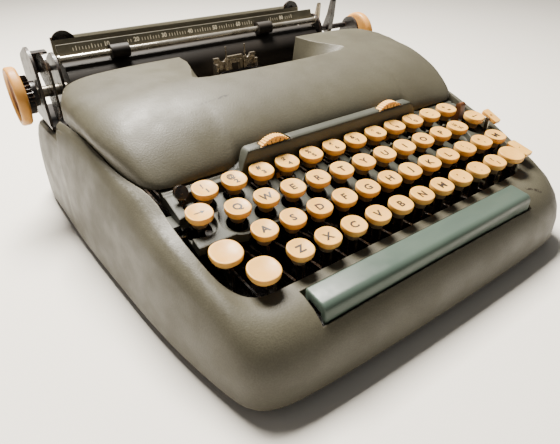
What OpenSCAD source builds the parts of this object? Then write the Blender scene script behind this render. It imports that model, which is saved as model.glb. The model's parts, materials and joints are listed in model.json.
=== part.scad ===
// Electric typewriter: painted casing, lifting ribbon cover, sprung keyboard,
// sliding carriage with platen, type basket, ribbon spools and motor drive.
// X runs to the typist's right, Y to the rear, Z up. Origin under the middle.

/* [Casing] */
// Widest width of the casing, at its rear half
body_w = 318; // [312:1:324]
// Depth of the casing from front to rear
body_d = 320; // [314:1:326]
// Height of the casing rim above the table
rim_z = 8; // [6:0.5:10]
// Height of the front lip beside the key well
lip_z = 50; // [48:0.5:52]
// Height of the casing edge at the front corner of the ribbon cover
seam_front_z = 84; // [83:0.5:85]
// Height of the casing edge at the rear end of its raised side
seam_rear_z = 94; // [92:0.5:96]
// Height of the low rear side edge that the carriage passes over
ledge_z = 73; // [68:0.5:74]
// Thickness of the casing and cover sheet
sheet = 2.2; // [1.6:0.1:2.6]
// Height of the flange that turns down at the casing's inner edge
flange = 6; // [4:0.5:8]
// Roundness of the casing shoulder, 2 is a plain ellipse
shoulder = 2.5; // [2.2:0.1:3]

/* [Ribbon cover] */
// Height of the flat top of the cover
cover_top_z = 116.5; // [115:0.5:118]
// Place of the rear edge of the cover
cover_rear_y = 70; // [68:0.5:72]
// Half width of the cover at its front edge
cover_front_x = 124; // [122:0.5:124.5]
// Width of the notch for the type basket
notch_w = 112; // [106:1:114]
// Depth of the notch from the rear edge
notch_d = 56; // [54:0.5:57]
// Gap around the cover and around every moving cap
seam_gap = 0.8; // [0.5:0.1:1.2]

/* [Keyboard] */
// Distance from key to key along a row, and from row to row
pitch = 19.05; // [18.9:0.05:19.2]
// Rise from one row to the next
row_rise = 5.8; // [5.4:0.1:6.2]
// Place of the home row, front to rear
home_y = -97; // [-98:0.5:-96]
// Height of the home row's tops
home_z = 70; // [69:0.5:71]
// Sideways place of the middle of the number row
keys_x = -1.3; // [-1.6:0.1:-1]
// Diameter of a character key top
cap_d = 15.2; // [14.4:0.1:15.6]
// Height of a key cap
cap_h = 5.8; // [5.2:0.1:6]
// Tilt of the key tops towards the typist
cap_tilt = 8; // [4:1:12]
// Diameter of the blank shift key tops
shift_d = 17.6; // [17:0.1:18]
// Thickness of a key lever
lever_t = 1.4; // [1.2:0.1:1.6]
// Length of the space bar
space_w = 180; // [174:1:184]
// Depth of the space bar, front to rear
space_d = 15.5; // [14:0.5:16]

/* [Carriage] */
// Length of the platen
platen_w = 230; // [226:1:232]
// Radius of the platen
platen_r = 17; // [16.5:0.1:17.2]
// Place of the platen axis, front to rear
platen_y = 108; // [107:0.5:109]
// Height of the platen axis
platen_z = 98; // [97.5:0.5:99]
// Distance from the left end plate to the outer face of its knob
knob_out = 32; // [30:0.5:34]
// Diameter of a platen knob
knob_d = 41; // [39:0.5:43]
// Thickness of a platen knob
knob_t = 7.5; // [6:0.5:9]
// Radius of the platen shaft
shaft_r = 4; // [3.5:0.1:4.5]
// Running clearance on the radius of every shaft
run_gap = 0.05; // [0.02:0.01:0.09]
// Clearance between parts that pass each other
pass_gap = 0.4; // [0.3:0.1:0.6]

/* [Hidden] */

function lerp(a, b, t) = a + (b - a) * t;

// Catmull-Rom curve through a list of points of any dimension
function spline_at(p, i, t) =
  let (n = len(p) - 1, a = p[max(i - 1, 0)], b = p[i], c = p[min(i + 1, n)], d = p[min(i + 2, n)])
  [for (k = [0 : len(b) - 1])
    0.5 * (2 * b[k] + (c[k] - a[k]) * t + (2 * a[k] - 5 * b[k] + 4 * c[k] - d[k]) * t * t
      + (3 * b[k] - a[k] - 3 * c[k] + d[k]) * t * t * t)];
function spline(p, steps) = concat(
  [for (i = [0 : len(p) - 2]) for (s = [0 : steps - 1]) spline_at(p, i, s / steps)],
  [p[len(p) - 1]]
);

// Solid skin around a closed loop of closed sections, all with the same number of points
module loop_skin(rings) {
  n = len(rings);
  m = len(rings[0]);
  points = [for (r = rings) each r];
  faces = [for (i = [0 : n - 1]) for (j = [0 : m - 1])
    let (i2 = (i + 1) % n, j2 = (j + 1) % m)
    each [[i * m + j, i * m + j2, i2 * m + j], [i * m + j2, i2 * m + j2, i2 * m + j]]];
  polyhedron(points, faces, convexity = 8);
}

// Casing: stations from the front middle round to the rear middle.
// Each is outer x and y at the rim, then inner x, y and z at the top edge.
half_w = body_w / 2;
half_d = body_d / 2;
well_front_y = -123;
well_half_w = half_w - 33;
seam_rear_x = half_w - 8;
wing_rear_y = 55;
ledge_w = 9;
front_side = [
  [0, -half_d, 0, well_front_y, lip_z],
  [60, -half_d + 0.5, 58, well_front_y, lip_z],
  [104, -half_d + 2, 96, well_front_y, lip_z],
  [124, -half_d + 5, 111, well_front_y + 1, lip_z],
  [half_w - 24, -half_d + 12, well_half_w - 6, well_front_y + 6, lip_z + 2],
  [half_w - 18, -half_d + 26, well_half_w - 1, well_front_y + 16, lip_z + 7],
  [half_w - 11, -half_d + 62, well_half_w, -91, lerp(lip_z, seam_front_z, 0.42)],
  [half_w - 6.5, -half_d + 100, well_half_w, -66, lerp(lip_z, seam_front_z, 0.73)],
  [half_w - 4, -half_d + 136, well_half_w + 1, -44, seam_front_z],
  [half_w - 2, -half_d + 168, lerp(well_half_w, seam_rear_x, 0.3), -20, lerp(seam_front_z, seam_rear_z, 0.35)],
  [half_w - 0.6, -half_d + 196, lerp(well_half_w, seam_rear_x, 0.68), 18, lerp(seam_front_z, seam_rear_z, 0.75)],
  [half_w, wing_rear_y - 1, seam_rear_x, wing_rear_y - 1, seam_rear_z]
];
rear_side = [
  [half_w, wing_rear_y, half_w - ledge_w, wing_rear_y, ledge_z + 1],
  [half_w, 88, half_w - ledge_w, 88, ledge_z],
  [half_w, 128, half_w - ledge_w, 126, ledge_z - 4],
  [half_w - 5, half_d - 9, half_w - ledge_w - 4, half_d - 17, ledge_z - 7],
  [half_w - 20, half_d, half_w - 26, half_d - ledge_w, ledge_z - 8],
  [70, half_d, 70, half_d - ledge_w, ledge_z - 8],
  [0, half_d, 0, half_d - ledge_w, ledge_z - 8]
];
half_stations = concat(spline(front_side, 3), spline(rear_side, 3));
left_stations = [for (i = [len(half_stations) - 2 : -1 : 1])
  let (s = half_stations[i]) [-s[0], s[1], -s[2], s[3], s[4]]];
stations = concat(half_stations, left_stations);
arc_steps = 7;
// One section: up the outside, over the shoulder, down the flange and back inside
function section(s) =
  let (e = 2 / shoulder,
       run = norm([s[0] - s[2], s[1] - s[3]]),
       dir = [(s[0] - s[2]) / run, (s[1] - s[3]) / run],
       inner_run = run - sheet)
  concat(
    [for (k = [0 : arc_steps])
      let (a = 90 * k / arc_steps, c = pow(cos(a), e), v = k == 0 ? 0 : pow(sin(a), e))
      [s[2] + dir[0] * run * c, s[3] + dir[1] * run * c, rim_z + (s[4] - rim_z) * v]],
    [[s[2], s[3], s[4] - flange], [s[2] + dir[0] * sheet, s[3] + dir[1] * sheet, s[4] - flange]],
    [for (k = [arc_steps - 1 : -1 : 0])
      let (a = 90 * k / arc_steps, c = pow(cos(a), e), v = k == 0 ? 0 : pow(sin(a), e),
           reach = sheet + (inner_run - sheet) * c)
      [s[2] + dir[0] * reach, s[3] + dir[1] * reach, rim_z + (s[4] - sheet - rim_z) * v]]
  );

casing_paint = [0.45, 0.47, 0.44];
panel_paint = [0.40, 0.42, 0.40];
cream = [0.86, 0.74, 0.56];
bar_green = [0.40, 0.52, 0.47];
dark_steel = [0.14, 0.13, 0.12];
bright_steel = [0.62, 0.60, 0.56];
black_rubber = [0.05, 0.05, 0.05];

// Space bar and its slot in the front lip
bar_rear_y = -131.5;
bar_top_z = 52.5;
bar_slot_gap = 2;
module bar_slot() {
  translate([keys_x - space_w / 2 - bar_slot_gap, bar_rear_y - space_d - bar_slot_gap, 34])
    cube([space_w + 2 * bar_slot_gap, space_d + 2 * bar_slot_gap, 40]);
}
inlet_x = -96;
inlet_z = 34;
inlet_r = 11;
module lower_casing() {
  color(casing_paint)
  difference() {
    loop_skin([for (s = stations) section(s)]);
    bar_slot();
    translate([inlet_x, half_d - 20, inlet_z])
      rotate([-90, 0, 0]) cylinder(r = inlet_r + seam_gap / 2, h = 40, $fn = 48);
  }
}

// Base pan, feet and screws
pan_t = 1.5;
pan_z = rim_z + 1.2;
foot_r = 11;
foot_x = 118;
foot_front_y = -128;
foot_rear_y = 134;
pan_fit = 0.2;
function inward(s, d) = let (run = norm([s[0] - s[2], s[1] - s[3]]))
  [s[0] - (s[0] - s[2]) * d / run, s[1] - (s[1] - s[3]) * d / run];
pan_outline = [for (s = stations) inward(s, sheet + pan_fit)];
foot_places = [for (x = [-foot_x, foot_x]) for (y = [foot_front_y, foot_rear_y]) [x, y]];
module base_pan() {
  color(dark_steel)
  difference() {
    translate([0, 0, pan_z]) linear_extrude(pan_t) polygon(pan_outline);
    for (i = [-4 : 4]) translate([i * 16, 60, pan_z - 1]) slot_cut(30, 5);
    for (p = foot_places) translate([p[0], p[1], pan_z - 1]) cylinder(r = 2.1, h = 5, $fn = 24);
  }
}
module slot_cut(length, width) {
  translate([-width / 2, -length / 2, 0]) cube([width, length, 6]);
  for (y = [-length / 2, length / 2]) translate([0, y, 0]) cylinder(d = width, h = 6, $fn = 20);
}
screw_r = 2;
screw_head_r = 3.6;
screw_head_z = 2;
module rubber_feet() {
  color(black_rubber)
  for (p = foot_places) translate([p[0], p[1], 0])
    rotate_extrude($fn = 48) polygon([[screw_head_r + 0.4, 0], [foot_r - 1, 0], [foot_r, 1],
      [foot_r - 1.5, pan_z], [screw_r + 0.1, pan_z], [screw_r + 0.1, screw_head_z + 1.7],
      [screw_head_r + 0.4, screw_head_z + 1.7]]);
}
module case_screws() {
  color(bright_steel)
  for (p = foot_places) translate([p[0], p[1], 0]) {
    translate([0, 0, screw_head_z]) cylinder(r = screw_head_r, h = 1.6, $fn = 32);
    translate([0, 0, screw_head_z]) cylinder(r = screw_r, h = pan_z + pan_t + 4 - screw_head_z, $fn = 24);
    translate([0, 0, pan_z + pan_t]) cylinder(r = 3.5, h = 2, $fn = 6);
  }
}
module power_inlet() {
  color(black_rubber)
  translate([inlet_x, half_d - 14, inlet_z]) rotate([-90, 0, 0]) {
    difference() {
      union() {
        cylinder(r = inlet_r, h = 13.2, $fn = 48);
        translate([0, 0, 7]) cylinder(r = inlet_r + 3, h = 3.4, $fn = 48);
      }
      translate([0, 0, 3]) cylinder(r = inlet_r - 2, h = 12, $fn = 48);
    }
    for (x = [-3.5, 3.5]) translate([x, 0, 2]) cylinder(r = 1.4, h = 9, $fn = 24);
  }
}

// Extrudes a profile drawn in Y and Z along X
module along_x(x0, width) {
  translate([x0, 0, 0]) rotate([90, 0, 90]) linear_extrude(width) children();
}
// Cylinder along X
module rod_x(x0, x1, y, z, r, fn = 48) {
  translate([x0, y, z]) rotate([0, 90, 0]) cylinder(r = r, h = x1 - x0, $fn = fn);
}

// Keyboard grid: each row has a number of keys and an offset in pitches
rows = [[12, 0], [11, 0.5], [11, 0.75], [10, 1.25]];
function key_x(r, i) = keys_x + (rows[r][1] + i - 5.5) * pitch;
function row_y(r) = home_y + (2 - r) * pitch;
function row_z(r) = home_z + (2 - r) * row_rise;
function lever_x(m) = keys_x - 5.5 * pitch + m * pitch / 4;
fulcrum_y = 78;
fulcrum_z = 28;
fulcrum_r = 2;
lever_h = 6;
knee_y = -30;
neck_h = 3.5;
neck_r = 4.2;
stem_half = 3;
slot_fit = 0.05;

module key_cap(x, y, z, d) {
  difference() {
    translate([x, y, z]) rotate([cap_tilt, 0, 0]) rotate_extrude($fn = 40)
      polygon([[0, -0.7], [d * 0.34, -0.5], [d / 2 - 0.5, 0], [d / 2, -0.4], [d / 2 - 0.25, -cap_h + 0.7],
        [d / 2 - 0.9, -cap_h], [neck_r + 0.3, -cap_h - 0.1], [neck_r, -cap_h - neck_h], [0, -cap_h - neck_h]]);
    translate([x - lever_t / 2 - slot_fit, y - stem_half - slot_fit, z - cap_h - 2 * neck_h])
      cube([lever_t + 2 * slot_fit, 2 * (stem_half + slot_fit), 2 * neck_h + 2]);
  }
}
module lever_blade(x, y, top_z) {
  difference() {
    along_x(x - lever_t / 2, lever_t) polygon([
      [fulcrum_y + 5, fulcrum_z - lever_h / 2], [knee_y, fulcrum_z - lever_h / 2],
      [y - stem_half, top_z - 26], [y - stem_half, top_z], [y + stem_half, top_z],
      [y + stem_half, top_z - 21], [knee_y + 4, fulcrum_z + lever_h / 2],
      [fulcrum_y + 5, fulcrum_z + lever_h / 2]]);
    rod_x(x - lever_t, x + lever_t, fulcrum_y, fulcrum_z, fulcrum_r + run_gap, 32);
  }
}
module keycap_row(r) {
  color(cream)
  for (i = [0 : rows[r][0] - 1]) key_cap(key_x(r, i), row_y(r), row_z(r), cap_d);
}
module lever_row(r) {
  color(dark_steel)
  for (i = [0 : rows[r][0] - 1]) lever_blade(key_x(r, i), row_y(r), row_z(r) - cap_h + 1.5);
}
module keycaps_row_1() { keycap_row(0); }
module keycaps_row_2() { keycap_row(1); }
module keycaps_row_3() { keycap_row(2); }
module keycaps_row_4() { keycap_row(3); }
module key_levers_row_1() { lever_row(0); }
module key_levers_row_2() { lever_row(1); }
module key_levers_row_3() { lever_row(2); }
module key_levers_row_4() { lever_row(3); }

// Lever with a side bracket, for caps that stand beside their lever
module bracket_lever(x, y, foot_z, top_z, half, slot) {
  color(dark_steel) {
    lever_blade(lever_x(slot), y, foot_z + 1.6);
    translate([min(x, lever_x(slot)) - lever_t / 2, y - half, foot_z])
      cube([abs(x - lever_x(slot)) + lever_t, 2 * half, 1.6]);
    translate([x - lever_t / 2, y - half, foot_z]) cube([lever_t, 2 * half, top_z - foot_z]);
  }
}
module round_key(at, d, slot, drop = 3) {
  color(cream) key_cap(at[0], at[1], at[2], d);
  bracket_lever(at[0], at[1], at[2] - cap_h - neck_h - drop, at[2] - cap_h + 1, stem_half, slot);
}
flag_t = 2.4;
module flag_key(at, width, length, tilt, drop, stem_x, slot) {
  color(cream)
  difference() {
    translate([at[0], at[1], at[2] - flag_t / 2]) rotate([tilt, 0, 0])
      linear_extrude(flag_t, center = true) offset(1.2, $fn = 24) square([width - 2.4, length - 2.4], center = true);
    translate([stem_x - lever_t / 2 - slot_fit, at[1] - 1.5 - slot_fit, at[2] - 20])
      cube([lever_t + 2 * slot_fit, 3 + 2 * slot_fit, 18.8]);
  }
  bracket_lever(stem_x, at[1], at[2] - drop, at[2] - 1.3, 1.5, slot);
}
tab_at = [-117.8, -73.9, 78];
backspace_at = [117, -75.5, 77.8];
margin_at = [115.6, home_y, home_z];
lock_at = [-117, -99, 67];
left_shift_at = [-106, -117, 62.5];
right_shift_at = [109, -116, 64.2];
tab_set_at = [129, -82, 77.2];
tab_clear_at = [123.8, -113, 63.5];
under_panel = 8;
module tab_key() { round_key(tab_at, cap_d, -1, under_panel); }
module backspace_key() { round_key(backspace_at, cap_d, 47, under_panel); }
module margin_release_key() { round_key(margin_at, cap_d, 46); }
module shift_lock_key() { round_key(lock_at, shift_d, -2); }
module left_shift_key() { round_key(left_shift_at, shift_d, 1); }
module right_shift_key() { round_key(right_shift_at, shift_d, 45); }
module tab_set_key() { flag_key(tab_set_at, 7, 14, 22, 19, 125.2, 49); }
module tab_clear_key() { flag_key(tab_clear_at, 8.6, 17, 12, 19.5, 120.7, 48); }

// Space bar, its two arms run back to the fulcrum between the key levers
arm_slots = [5.5, 39.5];
arm_t = 1.6;
bar_inner_z = bar_top_z - 4.5;
module space_bar() {
  color(bar_green)
  along_x(keys_x - space_w / 2, space_w) polygon([
    [bar_rear_y, bar_top_z - 9], [bar_rear_y, bar_top_z - 0.8], [bar_rear_y - 0.8, bar_top_z],
    [bar_rear_y - space_d + 4.5, bar_top_z - 1.2], [bar_rear_y - space_d + 1.8, bar_top_z - 2.4],
    [bar_rear_y - space_d + 0.4, bar_top_z - 4.6], [bar_rear_y - space_d, bar_top_z - 7.5],
    [bar_rear_y - space_d + 0.4, bar_top_z - 10.5], [bar_rear_y - space_d + 3, bar_top_z - 10.5],
    [bar_rear_y - space_d + 3, bar_inner_z], [bar_rear_y - 3, bar_inner_z], [bar_rear_y - 3, bar_top_z - 9]]);
}
bar_arm_y = bar_rear_y - 7;
module space_bar_arms() {
  color(dark_steel)
  for (m = arm_slots) difference() {
    union() {
      along_x(lever_x(m) - arm_t / 2, arm_t) polygon([
        [fulcrum_y + 5, fulcrum_z - lever_h / 2], [knee_y, fulcrum_z - lever_h / 2],
        [bar_arm_y - 3, fulcrum_z - 1], [bar_arm_y - 3, bar_inner_z - 0.1], [bar_arm_y + 3, bar_inner_z - 0.1],
        [bar_arm_y + 3, fulcrum_z + 5], [knee_y + 4, fulcrum_z + lever_h / 2],
        [fulcrum_y + 5, fulcrum_z + lever_h / 2]]);
      translate([lever_x(m) - 5, bar_arm_y - 3, bar_inner_z - 1.3]) cube([10, 6, 1.2]);
    }
    rod_x(lever_x(m) - 2, lever_x(m) + 2, fulcrum_y, fulcrum_z, fulcrum_r + run_gap, 32);
  }
}

// Keyboard panel: a thick plate with dished recesses and a raised ridge
panel_drop = 7;
panel_t = 6.5;
panel_half_w = well_half_w - 2.6;
panel_front_y = -88;
panel_rear_y = -42.8;
ridge_front_y = -50.4;
ridge_rake = 0.6;
ridge_half_w = 71.5;
ridge_top_z = 91;
under_lip_y = -37.5;
rear_rise_y = -51;
rear_rise_z = 83.4;
dish_r = 11.5;
dish_depth = 5;
stem_hole_r = 6.6;
slope_angle = atan(row_rise / pitch);
function panel_z(y) = home_z + (y - home_y) / pitch * row_rise - panel_drop;
wheel_x = 50.5;
wheel_r = 15;
wheel_t = 5;
wheel_y = -46.6;
wheel_z = 79.5;
wheel_shaft_r = 2;
frame_x = half_w - 25;
frame_t = 2;
frame_front_z = 66;
module ridge() {
  foot_z = panel_z(ridge_front_y) - 3;
  end = [[2.8, ridge_top_z - 6], [0.9, ridge_top_z - 2.6], [-0.2, ridge_top_z - 0.9], [-2, ridge_top_z]];
  outline = [for (p = end) [ridge_half_w + p[0], p[1]]];
  intersection() {
    along_x(-ridge_half_w - 7, 2 * (ridge_half_w + 7)) polygon([
      [ridge_front_y - ridge_rake, foot_z], [ridge_front_y, ridge_top_z - 2.6],
      [ridge_front_y + 0.7, ridge_top_z - 0.9], [ridge_front_y + 2.2, ridge_top_z],
      [panel_rear_y, ridge_top_z], [panel_rear_y, foot_z]]);
    translate([0, panel_rear_y, 0]) rotate([90, 0, 0]) linear_extrude(20)
      polygon(concat([[ridge_half_w + 7, foot_z]], outline,
        [for (i = [len(outline) - 1 : -1 : 0]) [-outline[i][0], outline[i][1]]], [[-ridge_half_w - 7, foot_z]]));
  }
}
// The panel's rear edge sweeps up to the cover and runs on under the cover's front edge
module rear_rise() {
  run = panel_rear_y - rear_rise_y;
  polygon([[rear_rise_y, panel_z(rear_rise_y) - dish_depth], [rear_rise_y, panel_z(rear_rise_y)],
    [rear_rise_y + 0.4 * run, panel_z(rear_rise_y + 0.4 * run) + 0.6],
    [rear_rise_y + 0.75 * run, panel_z(rear_rise_y + 0.75 * run) + 1.9],
    [panel_rear_y, rear_rise_z], [panel_rear_y, rear_rise_z - 0.4], [under_lip_y, rear_rise_z - 0.4],
    [under_lip_y, rear_rise_z - 2.4], [panel_rear_y, panel_z(panel_rear_y) - dish_depth]]);
}
// The panel is drawn flat and then tilted to the slope of the key rows
module on_slope() {
  translate([0, home_y, panel_z(home_y)]) rotate([slope_angle, 0, 0]) children();
}
function slope_y(y) = (y - home_y) / cos(slope_angle);
function flat_at(x, y) = [x, slope_y(y)];
switch_y = -61;
edge_dish_r = 9.2;
home_relief_r = cap_d / 2 + 1;
module key_circles(r, radius) {
  for (i = [0 : rows[r][0] - 1]) translate(flat_at(key_x(r, i), row_y(r))) circle(r = radius, $fn = 48);
}
module edge_circles(radius) {
  for (p = [tab_at, backspace_at]) translate(flat_at(p[0], p[1])) circle(r = radius, $fn = 48);
}
module panel_outline() {
  difference() {
    union() {
      translate([-panel_half_w, slope_y(panel_front_y)])
        square([2 * panel_half_w, slope_y(panel_rear_y) - slope_y(panel_front_y)]);
      key_circles(1, dish_r + 1.6);
    }
    key_circles(2, home_relief_r);
    translate(flat_at(lever_x(48) - 1.7, -89)) square([20, 14]);
  }
}
module keyboard_panel() {
  color(panel_paint)
  difference() {
    union() {
      on_slope() translate([0, 0, -panel_t]) linear_extrude(panel_t - dish_depth) difference() {
        panel_outline();
        key_circles(0, stem_hole_r);
        key_circles(1, stem_hole_r);
        edge_circles(stem_hole_r);
      }
      on_slope() translate([0, 0, -dish_depth]) linear_extrude(dish_depth) difference() {
        panel_outline();
        key_circles(0, dish_r);
        key_circles(1, dish_r);
        edge_circles(edge_dish_r);
      }
      on_slope() for (i = [0 : rows[1][0] - 2])
        translate([key_x(1, i) + pitch / 2 - 2, slope_y(row_y(1) - 13.3), -panel_t - 1]) cube([4, 6, 3]);
      ridge();
      along_x(-panel_half_w, 2 * panel_half_w) rear_rise();
      for (s = [-1, 1]) translate([s * (panel_half_w + frame_x) / 2 - (frame_x + 4 - panel_half_w) / 2, -66,
        frame_front_z]) cube([frame_x + 4 - panel_half_w, 12, 2]);
    }
    for (s = [-1, 1]) {
      translate([s * wheel_x, wheel_y, wheel_z]) rotate([90, 0, 0])
        cylinder(r = wheel_r + 2 * pass_gap, h = wheel_t + 2 * pass_gap, center = true, $fn = 64);
      translate([s * wheel_x, ridge_front_y + 0.4, wheel_z]) rotate([-90, 0, 0])
        cylinder(r = wheel_shaft_r + run_gap, h = 20, $fn = 32);
    }
    translate([selector_x - 2, selector_y - 7, 60]) cube([4, 14, 30]);
    translate([switch_x - 3.5, switch_y - 6, 60]) cube([7, 12, 30]);
  }
}
selector_x = -119;
selector_y = -55;
switch_x = 116;
module thumbwheel(s) {
  color(cream)
  translate([s * wheel_x, wheel_y, wheel_z]) rotate([-90, 0, 0]) {
    difference() {
      cylinder(r = wheel_r, h = wheel_t, center = true, $fn = 96);
      for (a = [0 : 7.5 : 359]) rotate([0, 0, a]) translate([wheel_r + 0.5, 0, 0])
        cylinder(r = 0.9, h = wheel_t + 1, center = true, $fn = 16);
    }
    translate([0, 0, ridge_front_y + 0.5 - wheel_y])
      cylinder(r = wheel_shaft_r, h = panel_rear_y - ridge_front_y - 0.7, $fn = 32);
  }
}
module thumbwheel_left() { thumbwheel(-1); }
module thumbwheel_right() { thumbwheel(1); }
selector_pivot_z = 52;
selector_top_z = 81;
module ribbon_selector() {
  color(dark_steel) {
    along_x(selector_x - 0.8, 1.6) difference() {
      polygon([[selector_y - 3, selector_pivot_z - 3], [selector_y + 3, selector_pivot_z - 3],
        [selector_y + 1.5, selector_top_z - 6], [selector_y + 1.5, selector_top_z],
        [selector_y - 1.5, selector_top_z], [selector_y - 1.5, selector_top_z - 6]]);
      translate([selector_y, selector_pivot_z]) circle(r = 1.5 + run_gap, $fn = 24);
    }
    translate([selector_x, selector_y, selector_top_z]) rotate([70, 0, 0])
      cylinder(r = 4.2, h = 2.6, center = true, $fn = 40);
  }
}
switch_pivot_z = 62;
module power_switch() {
  color([0.30, 0.19, 0.13])
  difference() {
    along_x(switch_x - 3, 6) hull() {
      translate([switch_y, switch_pivot_z]) circle(r = 4, $fn = 32);
      translate([switch_y - 1.5, switch_pivot_z + 20]) circle(r = 2.2, $fn = 32);
    }
    rod_x(switch_x - 4, switch_x + 4, switch_y, switch_pivot_z, 1.5 + run_gap, 24);
  }
}

// Side frames stand on the base pan and carry rods, rail, panel and motor
frame_front_y = -118;
frame_rear_y = 148;
frame_rear_z = 68;
rail_y = 131;
rail_z = 73;
rail_w = 10;
rail_h = 7;
roll_y = 23;
roll_z = 18;
roll_r = 4.6;
roll_shaft_r = 2.5;
hinge_y = 66;
hinge_z = 100;
hinge_pin_r = 2;
module side_frames() {
  color(bright_steel)
  for (s = [-1, 1]) {
    difference() {
      along_x(s * (frame_x + frame_t / 2) - frame_t / 2, frame_t) polygon([
        [frame_front_y, pan_z + pan_t], [frame_rear_y, pan_z + pan_t], [frame_rear_y, frame_rear_z],
        [hinge_y + 6, frame_rear_z], [hinge_y + 6, hinge_z + 5], [hinge_y - 6, hinge_z + 5],
        [hinge_y - 14, frame_rear_z], [-50, frame_front_z], [-72, frame_front_z], [frame_front_y, 40]]);
      rod_x(-150, 150, fulcrum_y, fulcrum_z, fulcrum_r + run_gap, 32);
      rod_x(-150, 150, roll_y, roll_z, roll_shaft_r + run_gap, 32);
      rod_x(-150, 150, hinge_y, hinge_z, hinge_pin_r + run_gap, 32);
    }
    translate([s > 0 ? frame_x - 12 : -frame_x, frame_front_y + 20, pan_z + pan_t]) cube([12, 30, 1.5]);
  }
  color(bright_steel) {
    rod_x(-frame_x, selector_x + 1.3, selector_y, selector_pivot_z, 1.5, 24);
    rod_x(switch_x - 3.4, frame_x, switch_y, switch_pivot_z, 1.5, 24);
  }
}
module key_fulcrum_rod() {
  color(bright_steel)
  rod_x(-frame_x - frame_t - 1, frame_x + frame_t + 1, fulcrum_y, fulcrum_z, fulcrum_r, 32);
}
comb_y = -22;
comb_t = 2;
module key_comb() {
  color(dark_steel) {
    translate([-frame_x + 0.2, comb_y, pan_z + pan_t]) cube([2 * frame_x - 0.4, comb_t, 5]);
    for (m = [-3 : 49]) if (m + 0.5 != arm_slots[0] && m + 0.5 != arm_slots[1])
      translate([lever_x(m + 0.5) - 1.2, comb_y, pan_z + pan_t + 4]) cube([2.4, comb_t, 24]);
  }
}
module carriage_rail() {
  color(bright_steel)
  translate([-frame_x + 0.1, rail_y - rail_w / 2, rail_z - rail_h]) cube([2 * frame_x - 0.2, rail_w, rail_h]);
}

// Motor, belt and the power roll under the key levers
motor_y = 112;
motor_z = 36;
motor_r = 23;
motor_x0 = 18;
motor_w = 80;
motor_shaft_r = 3;
pulley_r = 5;
roll_pulley_r = 5.6;
belt_t = 1;
belt_w = 2.2;
belt_x = lever_x(23.5);
module motor() {
  color(dark_steel) difference() {
    union() {
      rod_x(motor_x0, motor_x0 + motor_w, motor_y, motor_z, motor_r, 64);
      rod_x(motor_x0 - 4, motor_x0 + motor_w + 4, motor_y, motor_z, 10, 48);
      translate([motor_x0 + 10, motor_y - 18, pan_z + pan_t]) cube([motor_w - 20, 36, 8]);
    }
    rod_x(motor_x0 - 6, motor_x0 + 30, motor_y, motor_z, motor_shaft_r + run_gap, 32);
    for (a = [0 : 45 : 359]) translate([motor_x0 - 1, motor_y, motor_z]) rotate([a, 0, 0])
      translate([0, 0, 16]) rotate([0, 90, 0]) cylinder(r = 2.6, h = 6, $fn = 20);
  }
}
module pulley(x, y, z, r) {
  rod_x(x - belt_w / 2 - 0.3, x + belt_w / 2 + 0.3, y, z, r - 0.3, 40);
}
module motor_pulley() {
  color(bright_steel) {
    rod_x(belt_x - 4, motor_x0 + 28, motor_y, motor_z, motor_shaft_r, 32);
    pulley(belt_x, motor_y, motor_z, pulley_r);
  }
}
module power_roll() {
  color(black_rubber) {
    rod_x(-frame_x + 4, belt_x - belt_w, roll_y, roll_z, roll_r, 40);
    rod_x(belt_x + belt_w, frame_x - 4, roll_y, roll_z, roll_r, 40);
    rod_x(-frame_x - frame_t, frame_x + frame_t, roll_y, roll_z, roll_shaft_r, 32);
    pulley(belt_x, roll_y, roll_z, roll_pulley_r);
  }
}
module belt_loop(extra) {
  hull() {
    translate([motor_y, motor_z]) circle(r = pulley_r + extra, $fn = 32);
    translate([roll_y, roll_z]) circle(r = roll_pulley_r + extra, $fn = 32);
  }
}
module drive_belt() {
  color(black_rubber)
  along_x(belt_x - belt_w / 2, belt_w) difference() {
    belt_loop(belt_t);
    belt_loop(0);
  }
}

// Ribbon cover: a shell of sections across, rounded at its ends and front
cover_rows = 12;
cover_cols = 30;
cover_front_y = -41.6;
cover_crest_y = 24;
cover_corner = 12;
cover_end_power = 4;
cover_rear_x = 142.5;
cover_front_power = 1.75;
cover_front_z = seam_front_z;
function seam_line(y) = y < -20 ? seam_front_z + (y + 44) * 0.06
  : lerp(seam_front_z + 1.4, seam_rear_z, min(1, (y + 20) / 72));
function cover_half(y, inset) =
  let (t = (y - cover_front_y) / (wing_rear_y - cover_front_y),
       r = max(0, (y - 38) / (cover_rear_y - 38)),
       w = lerp(cover_front_x, seam_rear_x - seam_gap, min(1, t * 1.06)),
       c = max(0, 1 - (y - cover_front_y) / cover_corner))
  w - inset - cover_corner * (1 - sqrt(1 - c * c)) * 0.9 - (seam_rear_x - seam_gap - cover_rear_x) * r * r;
function cover_point(row, col, inset) =
  let (front = row <= cover_rows,
       a = 90 * min(row, cover_rows) / cover_rows,
       y0 = cover_front_y + inset,
       y_arc = cover_crest_y - (cover_crest_y - y0) * pow(cos(a), 2 / cover_front_power),
       y = front ? y_arc : lerp(cover_crest_y, cover_rear_y, (row - cover_rows) / 3),
       top = cover_top_z - inset,
       rise = row == 0 ? 0 : pow(sin(a), 2 / cover_front_power),
       z_mid = cover_front_z + (top - cover_front_z) * rise,
       b = -90 + 180 * col / cover_cols,
       power = cover_end_power + max(0, y - cover_crest_y) / 23,
       x_unit = sign(b) * pow(abs(sin(b)), 2 / power),
       z_unit = (col == 0 || col == cover_cols) ? 0 : pow(cos(b), 2 / power),
       edge = min(seam_line(y), z_mid))
  [cover_half(y, inset) * x_unit, y, edge + (z_mid - edge) * z_unit];
cover_last = cover_rows + 3;
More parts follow.
